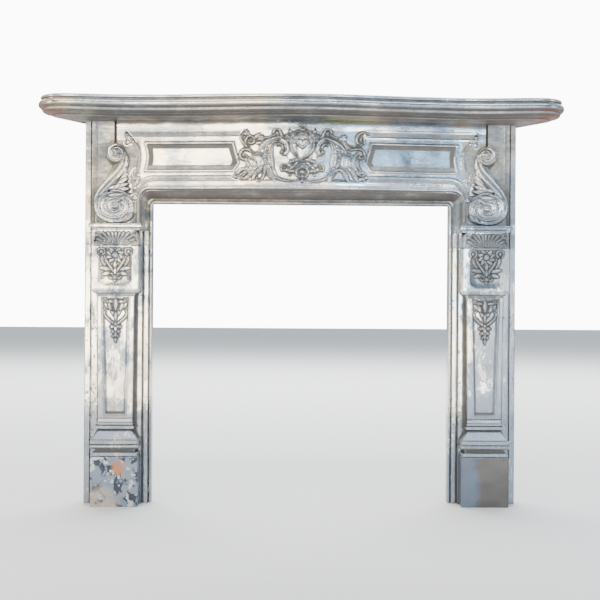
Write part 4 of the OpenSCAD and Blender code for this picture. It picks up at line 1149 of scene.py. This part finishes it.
# ---------------------------------------------------------------- consoles
def console_map():
    """Height map, outline distance and edge rounding of the console, about the pilaster's axis."""
    r = Relief(-66, 76, CAP_Z - 2, TOP_Z + 36, 1.1)
    x, z = r.X, r.Z
    d, t, side = sd_line(x, z, S)
    half = 6 + 9.5 * np.sin(np.pi * np.clip(t, 0, 1) ** 0.8) ** 0.8
    v = -side * d / half
    body = d - half
    R1 = np.hypot(x, z - TOP_Z)
    q = 0.78
    zz = (z - LOW_Z) / q
    R2 = np.hypot(x - 2, zz)
    low_r = 60 + 4 * np.cos(np.arctan2(zz, x - 2) + 0.6)
    foot = np.maximum(np.abs(x - 2) - 62, np.maximum(CAP_Z - 4 - z, z - LOW_Z + 16))
    web = sd_poly(x, z - TOP_Z, [(0, -20), (-29, -22), (-28, -50), (-37, -74), (-50, -94), (-52, -122), (10, -122), (40, -96)])
    sd = np.minimum.reduce([body, R1 - 30, (R2 - low_r) * 0.86, np.where(z < LOW_Z - 14, foot, 99), web])
    edge = np.sqrt(np.clip(1 - (1 - np.clip(-sd / 4.5, 0, 1)) ** 2, 0, 1))
    # the body: a smooth outer roll, then two flutes
    H = np.where(body < 0, 1.5 + 3.4 * np.cos(np.pi * 1.15 * (v - 0.22)) - 1.6 * np.exp(-(((v + 0.3) / 0.16) ** 2)), -2.0 - 3.0 * np.clip((body - 2) / 12, 0, 1))
    H = np.where((z < LOW_Z - 14) & (R2 > 56), -9 + 5 * np.clip((R2 - 56) / 30, 0, 1), H)

    def coil(X, Z, rad, turns, a0, eye):
        R = np.hypot(X, Z)
        ang = (np.degrees(np.arctan2(Z, X)) - a0) / 360.0
        ph = ((rad - R) / (rad * (1 - eye) / turns) + ang) % 1.0
        h = -2.5 + 5.4 * np.clip(np.sin(np.pi * ph), 0, 1) ** 0.6 + 1.2 * np.cos(4 * np.pi * ph) + 3.5 * (1 - R / rad)
        e = R / (rad * eye)
        return np.where(e < 1, 3.5 + 5.0 * np.sqrt(np.clip(1 - e**2, 0, 1)), h)

    H = np.where(R1 < 30, coil(x, z - TOP_Z, 30, 1.35, 200, 0.2), H)
    H = np.where(R2 < low_r, coil(x - 2, zz, 62, 2.3, 20, 0.16), H)
    leaf = Relief(-66, 76, CAP_Z - 2, TOP_Z + 36, 1.1, 1.3)
    z0 = TOP_Z
    # two comma leaves in the top coil
    leaf.leaf((-14, z0 + 12), -40, 24, 4.5, 7.5, -50)
    leaf.leaf((12, z0 + 10), 215, 26, 4.5, 7.5, -60)
    leaf.leaf((-20, z0 - 2), -70, 18, 4.0, 7.0, 60)
    # flame leaves that cross from the body's inner edge down over the lower coil
    for u, w, a, ln, h, turn in ((-33, -20, -84, 40, 5.0, 26), (-30, -44, -80, 36, 6.0, 30), (-36, -60, -44, 46, 6.5, -6),
                                 (-34, -76, -34, 52, 6.5, -4), (-36, -92, -22, 54, 6.5, -12), (-22, -52, -50, 44, 5.5, -4),
                                 (-40, -108, -2, 46, 6.5, -26), (-12, -96, -28, 50, 6.0, -20), (4, -100, -30, 46, 5.5, -34)):
        leaf.leaf((u, z0 + w), a, ln, h, 3.4, turn, kind="petal")
    leaf.stroke(spiral((0, LOW_Z), 53, 56, 150, 20, 40, 0.86), (2.5, 4.2, 3.0), 5.5, "round")
    leaf.leaf((34, LOW_Z + 26), 200, 34, 5.5, 5.5, -36)
    leaf.leaf((-30, LOW_Z + 30), -20, 40, 6.0, 5.5, -30)
    # small leaves at the foot
    leaf.leaf((-34, LOW_Z - 26), -70, 26, 6, 5.5, 40)
    leaf.leaf((-50, LOW_Z - 18), -60, 30, 6, 5.5, 20)
    H = np.where(leaf.H > 0, np.maximum(H, 1.2 + leaf.H), H)
    out = 3.0 - 6.0 * blur((leaf.H > 0.2).astype(float), 1)
    sd = np.minimum(sd, np.where((x < 8) & (z > CAP_Z), out, 9))
    edge = np.sqrt(np.clip(1 - (1 - np.clip(-sd / 4.5, 0, 1)) ** 2, 0, 1))
    r.H = H
    r.soften(1)
    return r, sd, edge


CON, CON_SD, CON_EDGE = console_map()
frieze()


def console(side):
    """The S-scroll: its face from the map above, its sides pulled straight back to the panels behind."""
    x, z, sd = CON.X, CON.Z, CON_SD
    top = FRIEZE_D + 13.0
    D = BACK_D - 3 + (top + 1.35 * CON.H - BACK_D + 3) * np.where(sd < 0, 0.84 + 0.16 * CON_EDGE, 0)
    D = D + waves(x * 3, D, z * 3, 0.3)
    cell = (sd[:-1, :-1] < 0) | (sd[1:, :-1] < 0) | (sd[:-1, 1:] < 0) | (sd[1:, 1:] < 0)
    # pull the outermost points onto the outline
    gz, gx = np.gradient(sd, CON.z, CON.x)
    gl = np.maximum(np.hypot(gx, gz), 0.3)
    out = sd >= 0
    move = np.where(out & (sd < 2.5), sd, 0)
    x2, z2 = x - move * gx / gl**2, z - move * gz / gl**2
    P = np.stack([(AXIS + x2) * side, D, z2], -1)
    gr = np.stack([x, CON.H, z], -1)
    # painted shade in the hollows, partly grime
    grime = 0.6 * np.clip(hollows(gr, (2, 4), (1.0, 2.6)), 0, 1) + 0.5 * np.clip((blur(CON.H, 4) - CON.H) / 3.5, 0, 1)
    # painted shade on the sides pulled back to the panels
    grime = np.where(out, 0.7, grime)
    n, m = x.shape
    q = grid_faces(n, m, cell, flip=side < 0)
    used = np.unique(q)
    new = np.full(n * m, -1)
    new[used] = np.arange(len(used))
    put(f"{'right' if side > 0 else 'left'}_console", P.reshape(-1, 3)[used], new[q], None, 52, {"grime": grime.ravel()[used]})


console(1)
console(-1)


# ---------------------------------------------------------------- cartouche
def cartouche():
    r = Relief(-212, 212, FRIEZE_LO + 8, FRIEZE_TOP - 1, 1.1, 1.2)
    k, cz = 2.98, CART_Z

    def P(s, x, y):
        """A point in thirds of a centimetre from the middle, on side s."""
        return s * x * k, cz + y * k

    def L(s, *pts):
        """A smooth line through points given as above."""
        c = np.array([P(s, *p) for p in pts])
        t = np.r_[0, np.cumsum(np.hypot(*np.diff(c, axis=0).T))]
        u = np.linspace(0, t[-1], 6 * len(c))
        m = np.gradient(c, t, axis=0)
        i = np.clip(np.searchsorted(t, u, "right") - 1, 0, len(t) - 2)
        h = (t[i + 1] - t[i])[:, None]
        v = ((u - t[i])[:, None]) / h
        return ((2 * v**3 - 3 * v**2 + 1) * c[i] + (v**3 - 2 * v**2 + v) * h * m[i]
                + (-2 * v**3 + 3 * v**2) * c[i + 1] + (v**3 - v**2) * h * m[i + 1])

    def leaf(s, x, y, a, length, half, h, turn=0.0):
        r.leaf(P(s, x, y), a if s > 0 else 180 - a, length, half, h, turn * s)

    for s in (-1, 1):
        # smooth shell beside the C-scroll, and the swelling field under the shield
        r.boss(P(s, 45, -7), 24, 5.5, 1.05, -0.3)
        r.boss(P(s, 52, -10), 17, 4.0, 1.1, -0.3)
        r.boss(P(s, 6, 6), 36, 4.0, 1.5, -0.3)
        # broad fluted leaf of the C, its crook and its rail along the bottom
        r.stroke(L(s, (29, 11), (33, 6), (34, -2), (33, -10), (31, -17), (27, -23.5)), (6, 13, 16, 15, 11, 7), (6, 8, 9, 8.5, 7.5), "flute")
        r.stroke(L(s, (31.5, -17), (27, -24), (19.5, -27.6), (8, -28.6), (3, -28)), (7, 6.5, 6, 5, 3), (6, 6.5, 6.5, 6, 5), "ridge")
        r.stroke(L(s, (34.5, 1), (33.6, 7.5), (28.5, 12.4), (21.5, 12.6), (16.2, 8), (15.2, 2), (17.6, -1.6), (21, -0.6)),
                 (4, 7, 8, 7.5, 6.5, 5.5, 4), (8, 10, 11, 11, 10, 9), "channel")
        r.stroke(L(s, (25.5, 6.5), (23, 8.4), (20, 6.6), (19.6, 3.2)), (2, 3.4, 3, 2), (8, 9.5, 9, 8), "round")
        r.boss(P(s, 20.6, 0.6), 6.2, 12)
        for x, y, a in ((36.5, 3, -25), (38, -2, -38), (38.2, -7, -50), (37.4, -12, -62), (35.4, -16, -74)):
            leaf(s, x - 2.5, y + 1.5, a, 15, 5.2, 8.5, -20)
        # the wing over the scroll
        r.stroke(L(s, (44, 0.6), (41.6, 5.6), (36.4, 10.6), (30, 13.6), (23, 15.4), (17, 15.6)), (1.5, 6.5, 8.5, 7, 4.5, 2.5), (6, 8, 9, 9, 8), "curl")
        # ear
        r.stroke(L(s, (17.5, 14.6), (20.4, 16.6), (21.6, 20), (24, 23.4), (27.4, 23.2), (29.4, 20), (28, 17.2), (25.4, 17.4)),
                 (2.5, 3.6, 4.4, 4.6, 4.2, 3.4, 2.6), (7, 9, 10, 10, 9), "round")
        r.stroke(L(s, (29.4, 17.6), (33, 15.6), (38, 15), (43, 13.4)), (3, 3.4, 3, 2), (7, 7, 6, 4))
        # sprig on the shoulder
        for a, ln in ((150, 15), (112, 20), (78, 21), (44, 16)):
            leaf(s, 42, 12.6, a, ln, 5.0, 6.5, 12)
        # shoulder leaf beside the crest, and the side of the shield
        leaf(s, 11.5, 13.5, 88, 38, 6.0, 9.5, -16)
        leaf(s, 12.5, 13, 60, 24, 5.5, 8.5, -24)
        leaf(s, 9, 15.5, 112, 24, 5.0, 8.5, -20)
        r.stroke(L(s, (4, 21.6), (9.5, 19), (12, 13), (11.4, 6), (8.2, 0), (3.4, -4.4), (0, -6)), (3.5, 4.6, 5, 5.2, 5, 4.4, 4), (8, 9.5, 10, 10, 9.5, 9), "ridge")
        r.stroke(L(s, (3.4, 19.4), (7.4, 15), (7.8, 10)), (2, 2.4, 2), (8, 9, 8))
        # bouquet
        leaf(s, 3, -7, -8, 36, 6.5, 9.5, -22)
        leaf(s, 3, -9, -34, 34, 6.0, 9.0, -26)
        leaf(s, 3, -12, -60, 26, 5.5, 9.0, 24)
        leaf(s, 9, -13, -48, 26, 5.2, 8.5, -30)
        leaf(s, 1, -9, -80, 26, 5.0, 9.5, 14)
        r.boss(P(s, 9.6, -18.6), 6.5, 10)
        r.boss(P(s, 15.4, -17.2), 7.0, 10, 1.2)
        r.boss(P(s, 12.4, -22.4), 4.6, 8)
        r.stroke(L(s, (15.5, -12.6), (19.5, -12.4), (21.6, -15.2), (20, -18.2), (17.8, -17)), (2.4, 3, 3, 2.4), (6, 7.5, 7.5, 6.5))
        r.stroke(L(s, (2.6, -15), (6, -18), (5.2, -22.6), (2, -25.2)), (2.6, 3.4, 3.2, 2.6), (8, 9, 9, 7))

    # outer scrolls: the two sides differ
    s = -1
    r.stroke(L(s, (58, 21), (61.4, 17.6), (61.2, 13), (59, 9.4), (55.6, 6), (51.6, 2.6), (48, -0.6)), (3, 4, 4.4, 4.4, 4, 3.2, 2.4), (6, 8, 8.5, 8.5, 8, 7), "ridge")
    r.stroke(L(s, (57.6, 9.6), (56.4, 14.4), (52.8, 16.8), (49, 15), (48.4, 11.4), (51, 8.8), (54, 10.2), (53.4, 13)), (2.4, 3.6, 4, 4, 3.8, 3.2, 2.6), (6, 8, 9, 9, 8.5), "round")
    for a, ln in ((118, 16), (98, 24), (76, 22), (52, 17)):
        leaf(s, 56.4, 17.4, a, ln, 5.2, 8, -10)
    leaf(s, 48, 14.6, 130, 26, 6.2, 5.5, 20)
    leaf(s, 47, 9, 160, 22, 5.4, 5, 30)
    r.stroke(L(s, (48, -0.4), (52, 1.4), (56, 3.2), (60.6, 2.4), (62.8, -1.6), (61.2, -6), (57.2, -6.6), (55.6, -3.6), (58, -2)),
             (2.4, 3.4, 4.2, 4.6, 4.4, 4, 3.4, 2.6), (6, 8, 9, 9, 9, 8), "round")
    r.stroke(L(s, (56, -7), (54, -12), (55.4, -17), (60, -20)), (4, 6, 6, 4), (5, 6.5, 6.5, 6), "flute")
    r.dent(P(s, 45.8, -9.9), 3.6, 3.2)
    r.stroke(L(s, (34.6, -14), (33, -19), (30.4, -24.4), (27.6, -28)), (7, 10, 9.5, 5), (7, 9.5, 9.5, 7), "flute")
    r.stroke(L(s, (37.6, -13.6), (38, -19.6), (40.2, -25.6), (43.4, -29), (46.4, -27.4), (45.2, -24.8)), (4.4, 5, 4.4, 4, 3.4, 2.8), (7, 8.5, 9, 9, 8.5))
    r.stroke(L(s, (41, -14.4), (44.4, -18.6), (48.4, -22.6), (49.4, -26.4)), (4, 7.4, 7.4, 4), (7, 9, 9, 7), "flute")
    r.stroke(L(s, (46.4, -14), (50.6, -18.6), (54.4, -23.6), (58, -26)), (4, 7, 7, 4), (7, 8.5, 8.5, 7), "flute")
    r.stroke(L(s, (51.4, -14.4), (56, -18.6), (61, -22.4), (65.6, -23)), (4, 6.6, 6.6, 4), (7, 8.5, 8.5, 7), "flute")
    r.stroke(L(s, (56, -15.6), (61, -17), (65.6, -20.4), (69.4, -24)), (3.4, 5.4, 5.4, 3), (6, 8, 8, 6.5), "flute")
    r.boss(P(s, 66.6, -24.2), 6.5, 8.5)
    r.boss(P(s, 60.8, -25.6), 6.0, 8.0)
    s = 1
    r.stroke(L(s, (67.4, 19.6), (62.8, 21.4), (57.8, 20), (54.8, 16.2), (55.4, 11.4), (58.8, 8.8), (62.4, 10.6), (62.4, 14.4), (59.6, 15.4), (58.6, 13.4)),
             (4, 5.2, 5.2, 4.8, 4.4, 4, 3.6, 3.2, 2.6), (6, 9, 9.5, 9.5, 9, 9, 8.5), "round")
    r.stroke(L(s, (60.6, 8.4), (56.6, 6.8), (51, 6.6), (46.6, 8.4), (43.6, 10.4)), (2.6, 3.6, 3.8, 3.4, 2.4), (6, 8, 8, 7), "ridge")
    r.stroke(L(s, (44.4, 4.4), (49, 3.4), (54, 4.4), (59.6, 4), (62.8, 0.6), (62.2, -3.8), (58.8, -5.2), (57.6, -2.6)), (2, 3, 3.6, 4, 4, 3.6, 3), (5, 7, 8, 8.5, 8.5, 8), "round")
    r.stroke(L(s, (56, 0.4), (52, -4.6), (51.4, -11), (54, -17), (58.4, -21)), (3, 5.4, 6.4, 6.2, 4.4), (5, 7, 7, 7, 6.5), "flute")
    r.stroke(L(s, (57.4, -6.4), (56.6, -12), (59.4, -17), (63, -19.4)), (2.6, 3.6, 3.8, 3), (5, 6.5, 6.5, 6), "ridge")
    r.stroke(L(s, (36.4, -17.4), (31.6, -19.2), (28.4, -23.6), (27.2, -28)), (4, 9, 9.5, 6), (7, 9.5, 9.5, 7), "flute")
    r.stroke(L(s, (33.4, -18), (38.2, -16.8), (42.6, -20), (44.6, -24.6), (47.2, -28.4)), (3.4, 4.4, 6.6, 7, 4), (7, 8.5, 9, 9, 7), "flute")
    r.stroke(L(s, (46.6, -14.6), (50.6, -19), (53.6, -24), (56.4, -28.4)), (4, 6.8, 7, 4), (6.5, 8.5, 8.5, 6.5), "flute")
    leaf(s, 54.6, -18.6, -40, 32, 7.0, 8.5, 20)
    leaf(s, 58, -18.6, -20, 30, 6.0, 8.0, -30)
    r.boss(P(s, 61, -19.6), 6.0, 8.5)
    r.boss(P(s, 64.8, -24.4), 6.5, 8.5)

    # on the middle line: crest, heart, husk and drop
    for a, ln in ((-74, 17), (-48, 21), (-24, 24), (0, 25), (24, 24), (48, 21), (74, 17)):
        r.leaf((0, cz + 70), 90 + a, ln, 4.6, 10.5, 0.3 * a)
    r.boss((0, cz + 69), 7, 11.5)
    heart = [(16.0 * math.sin(t) ** 3, cz + 27 + 1.02 * (13 * math.cos(t) - 5 * math.cos(2 * t) - 2 * math.cos(3 * t) - math.cos(4 * t)))
             for t in np.linspace(0, 2 * math.pi, 48)]
    d = -sd_poly(r.X, r.Z, heart)
    r.H = np.where(d > -1, np.maximum(r.H, 7.5 + 3.2 * np.sqrt(np.clip((d + 1) / 3.4, 0, 1)) - 2.6 * np.clip((d - 3.2) / 2, 0, 1) + 2.0 * np.clip((d - 6) / 5, 0, 1)), r.H)
    for i in range(3):
        r.leaf((0, cz - 34 - 15 * i), 270, 22 - 2 * i, 6.5 - 1.2 * i, 10)
    r.boss((0, cz - 58), 7.5, 10.5)
    r.boss((0, cz - 84), 6.0, 9.5, 1.3)
    r.soften(1)
    on_frieze("cartouche", r)


cartouche()


def end_ornaments():
    """The small leaves where the bands turn, at both ends of the frieze."""
    for side in (-1, 1):
        x0 = FRONT_HALF - 90
        r = Relief(x0, FRONT_HALF - 4, FRIEZE_LO - 38, FRIEZE_TOP - 30, 1.15)
        xe, zb = FRONT_HALF - 34, FRIEZE_TOP - 32
        r.leaf((xe + 4, zb - 4), 262, 34, 7, 5.5, -34)
        r.leaf((xe, zb - 14), 240, 26, 6, 5.5, -50)
        r.leaf((xe + 2, zb - 26), 215, 26, 6, 5.0, -40)
        r.leaf((xe - 4, zb - 30), 190, 22, 5, 4.5, 20)
        r.volute((xe + 2, zb - 36), 7, 5.5, 1.1, a0=90)
        for i in range(3):
            r.leaf((xe - 26 + 7 * i, zb - 116 - 12 * i), 300, 22, 4.5, 4.5, -20)
        xb = FRONT_OPEN + 6
        r.leaf((xb - 10, FRIEZE_LO + 30), 20, 36, 8, 5.5, -44)
        r.leaf((xb - 6, FRIEZE_LO + 26), 330, 28, 6.5, 5.0, -50)
        r.volute((xb + 8, FRIEZE_LO - 26), 9, 6.0, 1.2, spin=-1, a0=180)
        r.soften(1)
        on_frieze(f"{'right' if side > 0 else 'left'}_end_leaves", r, side=side)


end_ornaments()


# ---------------------------------------------------------------- shelf
def shelf():
    top, lo = SHELF_TOP, FRIEZE_TOP
    r = 12.0
    tz = top - 14 - r
    gz = tz - r - 0.5
    oz = gz - 3
    od, cd = (oz - lo) * 0.64, (oz - lo) * 0.30
    prof = [(12.5 - 6 * math.cos(a), top - 6 + 6 * math.sin(a)) for a in np.radians(np.linspace(90, -62, 12))]
    prof += [(10.5, top - 12.0), (10.7, top - 13.0), (10.0, top - 13.8)]
    prof += [(r + r * math.cos(a), tz + r * math.sin(a)) for a in np.radians(np.linspace(102, 256, 20))]
    prof += [(9.6, gz + 0.2), (10.4, gz - 0.6), (10.4, oz + 0.5)]
    prof += [(28 - 17.6 * math.cos(a), oz - od * math.sin(a)) for a in np.radians(np.linspace(12, 90, 14))]
    prof += [(28, lo + cd + 0.8), (29, lo + cd)]
    prof += [(28 + 14 * math.sin(a), lo + cd * math.cos(a)) for a in np.radians(np.linspace(12, 90, 10))]
    prof = np.array(prof)
    W, corner, turn_in = SHELF_W / 2, 78.0, math.radians(33)
    dip_x, horn_x, dip_d = 0.325 * SHELF_W, SHELF_W / 2 - corner, 188.0
    cd0 = dip_d + 15 - corner
    ct, sn = math.cos(turn_in), math.sin(turn_in)
    x_wall = horn_x + corner / ct - cd0 * math.tan(turn_in)

    def edge(x):
        ax = np.abs(x)
        return np.where(ax < dip_x, dip_d + 44 * (1 + np.cos(np.pi * ax / dip_x)) / 2,
                        dip_d + 15 * (1 - np.cos(np.pi * np.clip((ax - dip_x) / (horn_x - dip_x), 0, 1))) / 2)

    xs = np.linspace(-horn_x, horn_x, 361)
    m = (edge(xs + 0.5) - edge(xs - 0.5))
    nr = np.c_[-m, np.ones(len(m))]
    nr /= np.linalg.norm(nr, axis=1, keepdims=True)
    a = np.linspace(-turn_in, math.pi / 2, 30)[:-1]
    f = np.linspace(0, 1, 13)[:-1]

    def outline(ins):
        """Plan of the edge at each inset, from the wall on the left round the front to the wall on the right."""
        k = np.atleast_1d(np.asarray(ins, float))[:, None]
        x = np.hstack([(1 - f) * (x_wall - k / ct) + f * (horn_x + (corner - k) * ct), horn_x + (corner - k) * np.cos(a)])
        d = np.hstack([f * (cd0 - (corner - k) * sn), cd0 + (corner - k) * np.sin(a)])
        return np.hstack([-x, xs - k * nr[:, 0], x[:, ::-1]]), np.hstack([d, edge(xs) - k * nr[:, 1], d[:, ::-1]])

    ins, zz = prof[:, 0], prof[:, 1]
    X, D = outline(ins)
    n = X.shape[1]
    Z = np.repeat(zz[:, None], n, 1)
    Z = Z + waves(X * 0.5, D, Z * 2, 0.5) * ((Z > lo + 1) & (Z < top - 0.01))
    D = D + waves(X, D * 0.3, Z, 0.5) * (D > 3)
    chip = chips(X, Z, 77, 70, -W, W, lo + 8, top - 3, (1.0, 3.0)) * 0.7
    D = D - chip * 0.8 * (D > 20)
    P = np.stack([X, D, Z], -1)
    # painted shade in the hollows, partly grime
    grime = np.clip(hollows(P, (1, 2), (0.5, 1.2)), 0, 1)
    # painted shade on the torus's lower half, the ovolo and, darkest, the cavetto
    grime[26:36] = np.maximum(grime[26:36], 0.36)
    grime[-28:] = np.maximum(grime[-28:], 0.44)
    grime[-11:] = np.maximum(grime[-11:], 0.55)
    parts = [(P, grid_faces(*X.shape, flip=True), grime, chip)]

    def fill(line, rows, flip, soil_and_shade, rough=0.0):
        """A flat laid from an edge line back to the wall."""
        s = line[0, 0] / line[:, 0].min()
        pts = np.stack([np.c_[line[:, 0] * (s + (1 - s) * k), line[:, 1] * k, line[:, 2]] for k in np.linspace(1, 0, rows)])
        pts[1:-1, :, 2] += waves(pts[1:-1, :, 0], pts[1:-1, :, 1], 0, 0.25) * rough
        parts.append((pts, grid_faces(rows, len(line), flip=flip), np.full((rows, len(line)), soil_and_shade), None))

    fill(P[0], 6, False, 0.0, 1.0)
    # painted shade on the underside
    fill(P[-1], 6, True, 0.5)
    # hollow back
    w, inn = 7.0, 45.0
    hx, hd = (v[0] for v in outline(inn))
    z0, z1 = lo + w, top - w
    wall = np.stack([np.c_[hx, hd, np.full(n, z)] for z in (z0, z1)])
    # painted shade on the hidden back
    parts.append((wall, grid_faces(2, n, flip=True), np.full((2, n), 0.8), None))
    fill(wall[0], 3, False, 0.8)
    fill(wall[1], 3, True, 0.8)
    # rim against the wall, cut to the profile
    zr = np.unique(np.r_[zz, z0, z1])
    xr = x_wall - np.interp(zr, zz[::-1], ins[::-1]) / ct
    for za, zb, xi in ((lo, z0, None), (z0, z1, hx[-1]), (z1, top, None)):
        k = (zr >= za - 1e-6) & (zr <= zb + 1e-6)
        for left, right in ([(-xr[k], xr[k])] if xi is None else [(-xr[k], -xi + 0 * xr[k]), (xi + 0 * xr[k], xr[k])]):
            pts = np.stack([np.c_[left, 0.2 + 0 * left, zr[k]], np.c_[right, 0.2 + 0 * right, zr[k]]], 1)
            # painted shade on the rim against the wall
            parts.append((pts, grid_faces(k.sum(), 2, flip=True), np.full((k.sum(), 2), 0.6), None))
    v, q, g, wr = join(parts)
    return put("mantel_shelf_casting", v, q, "mantel_shelf", 34, {"grime": g, "wear": wr})

shelf()


# ---------------------------------------------------------------- stage
def flat(name, colour, rough=0.8):
    m = bpy.data.materials.new(name)
    m.use_nodes = True
    b = m.node_tree.nodes["Principled BSDF"]
    b.inputs["Base Color"].default_value = (*colour, 1)
    b.inputs["Roughness"].default_value = rough
    return m


bpy.ops.mesh.primitive_plane_add(size=40, location=(0, 0, 0))
floor = bpy.context.object
floor.name = "floor"
floor.data.materials.append(flat("floor", (0.86, 0.86, 0.86)))

world = bpy.data.worlds.new("studio")
bpy.context.scene.world = world
world.use_nodes = True


def studio_world(tree):
    """A soft room: pale all round, dimmer behind the camera, warm to the left and cool to the right."""
    tree.nodes.clear()
    N, L = tree.nodes.new, tree.links.new
    where = N("ShaderNodeSeparateXYZ")
    L(N("ShaderNodeTexCoord").outputs["Generated"], where.inputs[0])

    def ease(k, a, b, lo, hi):
        r = N("ShaderNodeMapRange")
        r.interpolation_type = "SMOOTHSTEP"
        L(where.outputs[k], r.inputs["Value"])
        for key, v in (("From Min", a), ("From Max", b), ("To Min", lo), ("To Max", hi)):
            r.inputs[key].default_value = v
        return r.outputs["Result"]

    tint = N("ShaderNodeMix")
    tint.data_type = "RGBA"
    L(ease("X", -0.25, 0.25, 0, 1), tint.inputs[0])
    tint.inputs[6].default_value = (1.0, 0.93, 0.83, 1)
    tint.inputs[7].default_value = (0.58, 0.79, 1.0, 1)
    room = N("ShaderNodeBackground")
    L(tint.outputs[2], room.inputs["Color"])
    level = N("ShaderNodeMath")
    level.operation = "ADD"
    L(ease("Y", -0.7, 0.3, 0.10, 0.6), level.inputs[0])
    L(ease("Z", 0.30, 0.62, 0.0, 0.7), level.inputs[1])
    L(level.outputs[0], room.inputs["Strength"])
    pale = N("ShaderNodeBackground")
    pale.inputs["Strength"].default_value = 14.0
    both = N("ShaderNodeMixShader")
    L(N("ShaderNodeLightPath").outputs["Is Camera Ray"], both.inputs[0])
    L(room.outputs[0], both.inputs[1])
    L(pale.outputs[0], both.inputs[2])
    L(both.outputs[0], N("ShaderNodeOutputWorld").inputs["Surface"])


studio_world(world.node_tree)


def lamp(name, where, aim, size, power, colour):
    d = bpy.data.lights.new(name, "AREA")
    d.shape = "RECTANGLE"
    d.size, d.size_y = size
    d.energy = power
    d.color = colour
    o = bpy.data.objects.new(name, d)
    bpy.context.scene.collection.objects.link(o)
    o.location = where
    v = np.array(aim) - np.array(where)
    v = v / np.linalg.norm(v)
    o.rotation_euler = (math.acos(-v[2]), 0, math.atan2(v[1], v[0]) - math.pi / 2)
    return o


lamp("warm_left_high", (-1.15, -4.6, 1.72), (-0.45, 0, 1.0), (2.2, 0.5), 62, (1.0, 0.84, 0.62))
lamp("warm_left_low", (-1.32, -4.6, 0.65), (-0.56, 0, 0.6), (0.60, 1.3), 46, (1.0, 0.88, 0.70))
lamp("cool_right_high", (1.15, -4.6, 1.70), (0.4, 0, 1.0), (2.1, 0.5), 11.5, (0.42, 0.72, 1.0))
lamp("cool_right_low", (1.235, -4.6, 0.6), (0.5, 0, 0.6), (0.25, 1.3), 36.0, (1.0, 0.97, 0.91))
lamp("overhead", (0, -1.5, 3.4), (0, -0.2, 0.4), (4.5, 0.55), 50, (1.0, 0.99, 0.97))
lamp("left_side", (-3.4, -1.6, 1.2), (-0.6, 0, 0.7), (0.7, 2.4), 46, (1.0, 0.95, 0.88))
lamp("right_side", (3.4, -1.6, 1.2), (0.6, 0, 0.7), (0.7, 2.4), 24, (0.85, 0.93, 1.0))
lamp("behind", (0, 5.0, 4.2), (0, 3.2, 0), (9.0, 3.0), 900, (1.0, 1.0, 1.0))

cam = bpy.data.objects.new("camera", bpy.data.cameras.new("camera"))
bpy.context.scene.collection.objects.link(cam)
cam.data.lens = 62.57
cam.data.sensor_width = 36
cam.data.clip_end = 200
from mathutils import Matrix

yaw, roll = math.radians(1.279), math.radians(0.364)
turn = Matrix.Rotation(-yaw, 4, "Z") @ Matrix.Rotation(math.pi / 2, 4, "X") @ Matrix.Rotation(roll, 4, "Z")
cam.matrix_world = Matrix.Translation((-0.074, WALL_Y * MM - 3.248, 0.6248)) @ turn
bpy.context.scene.camera = cam
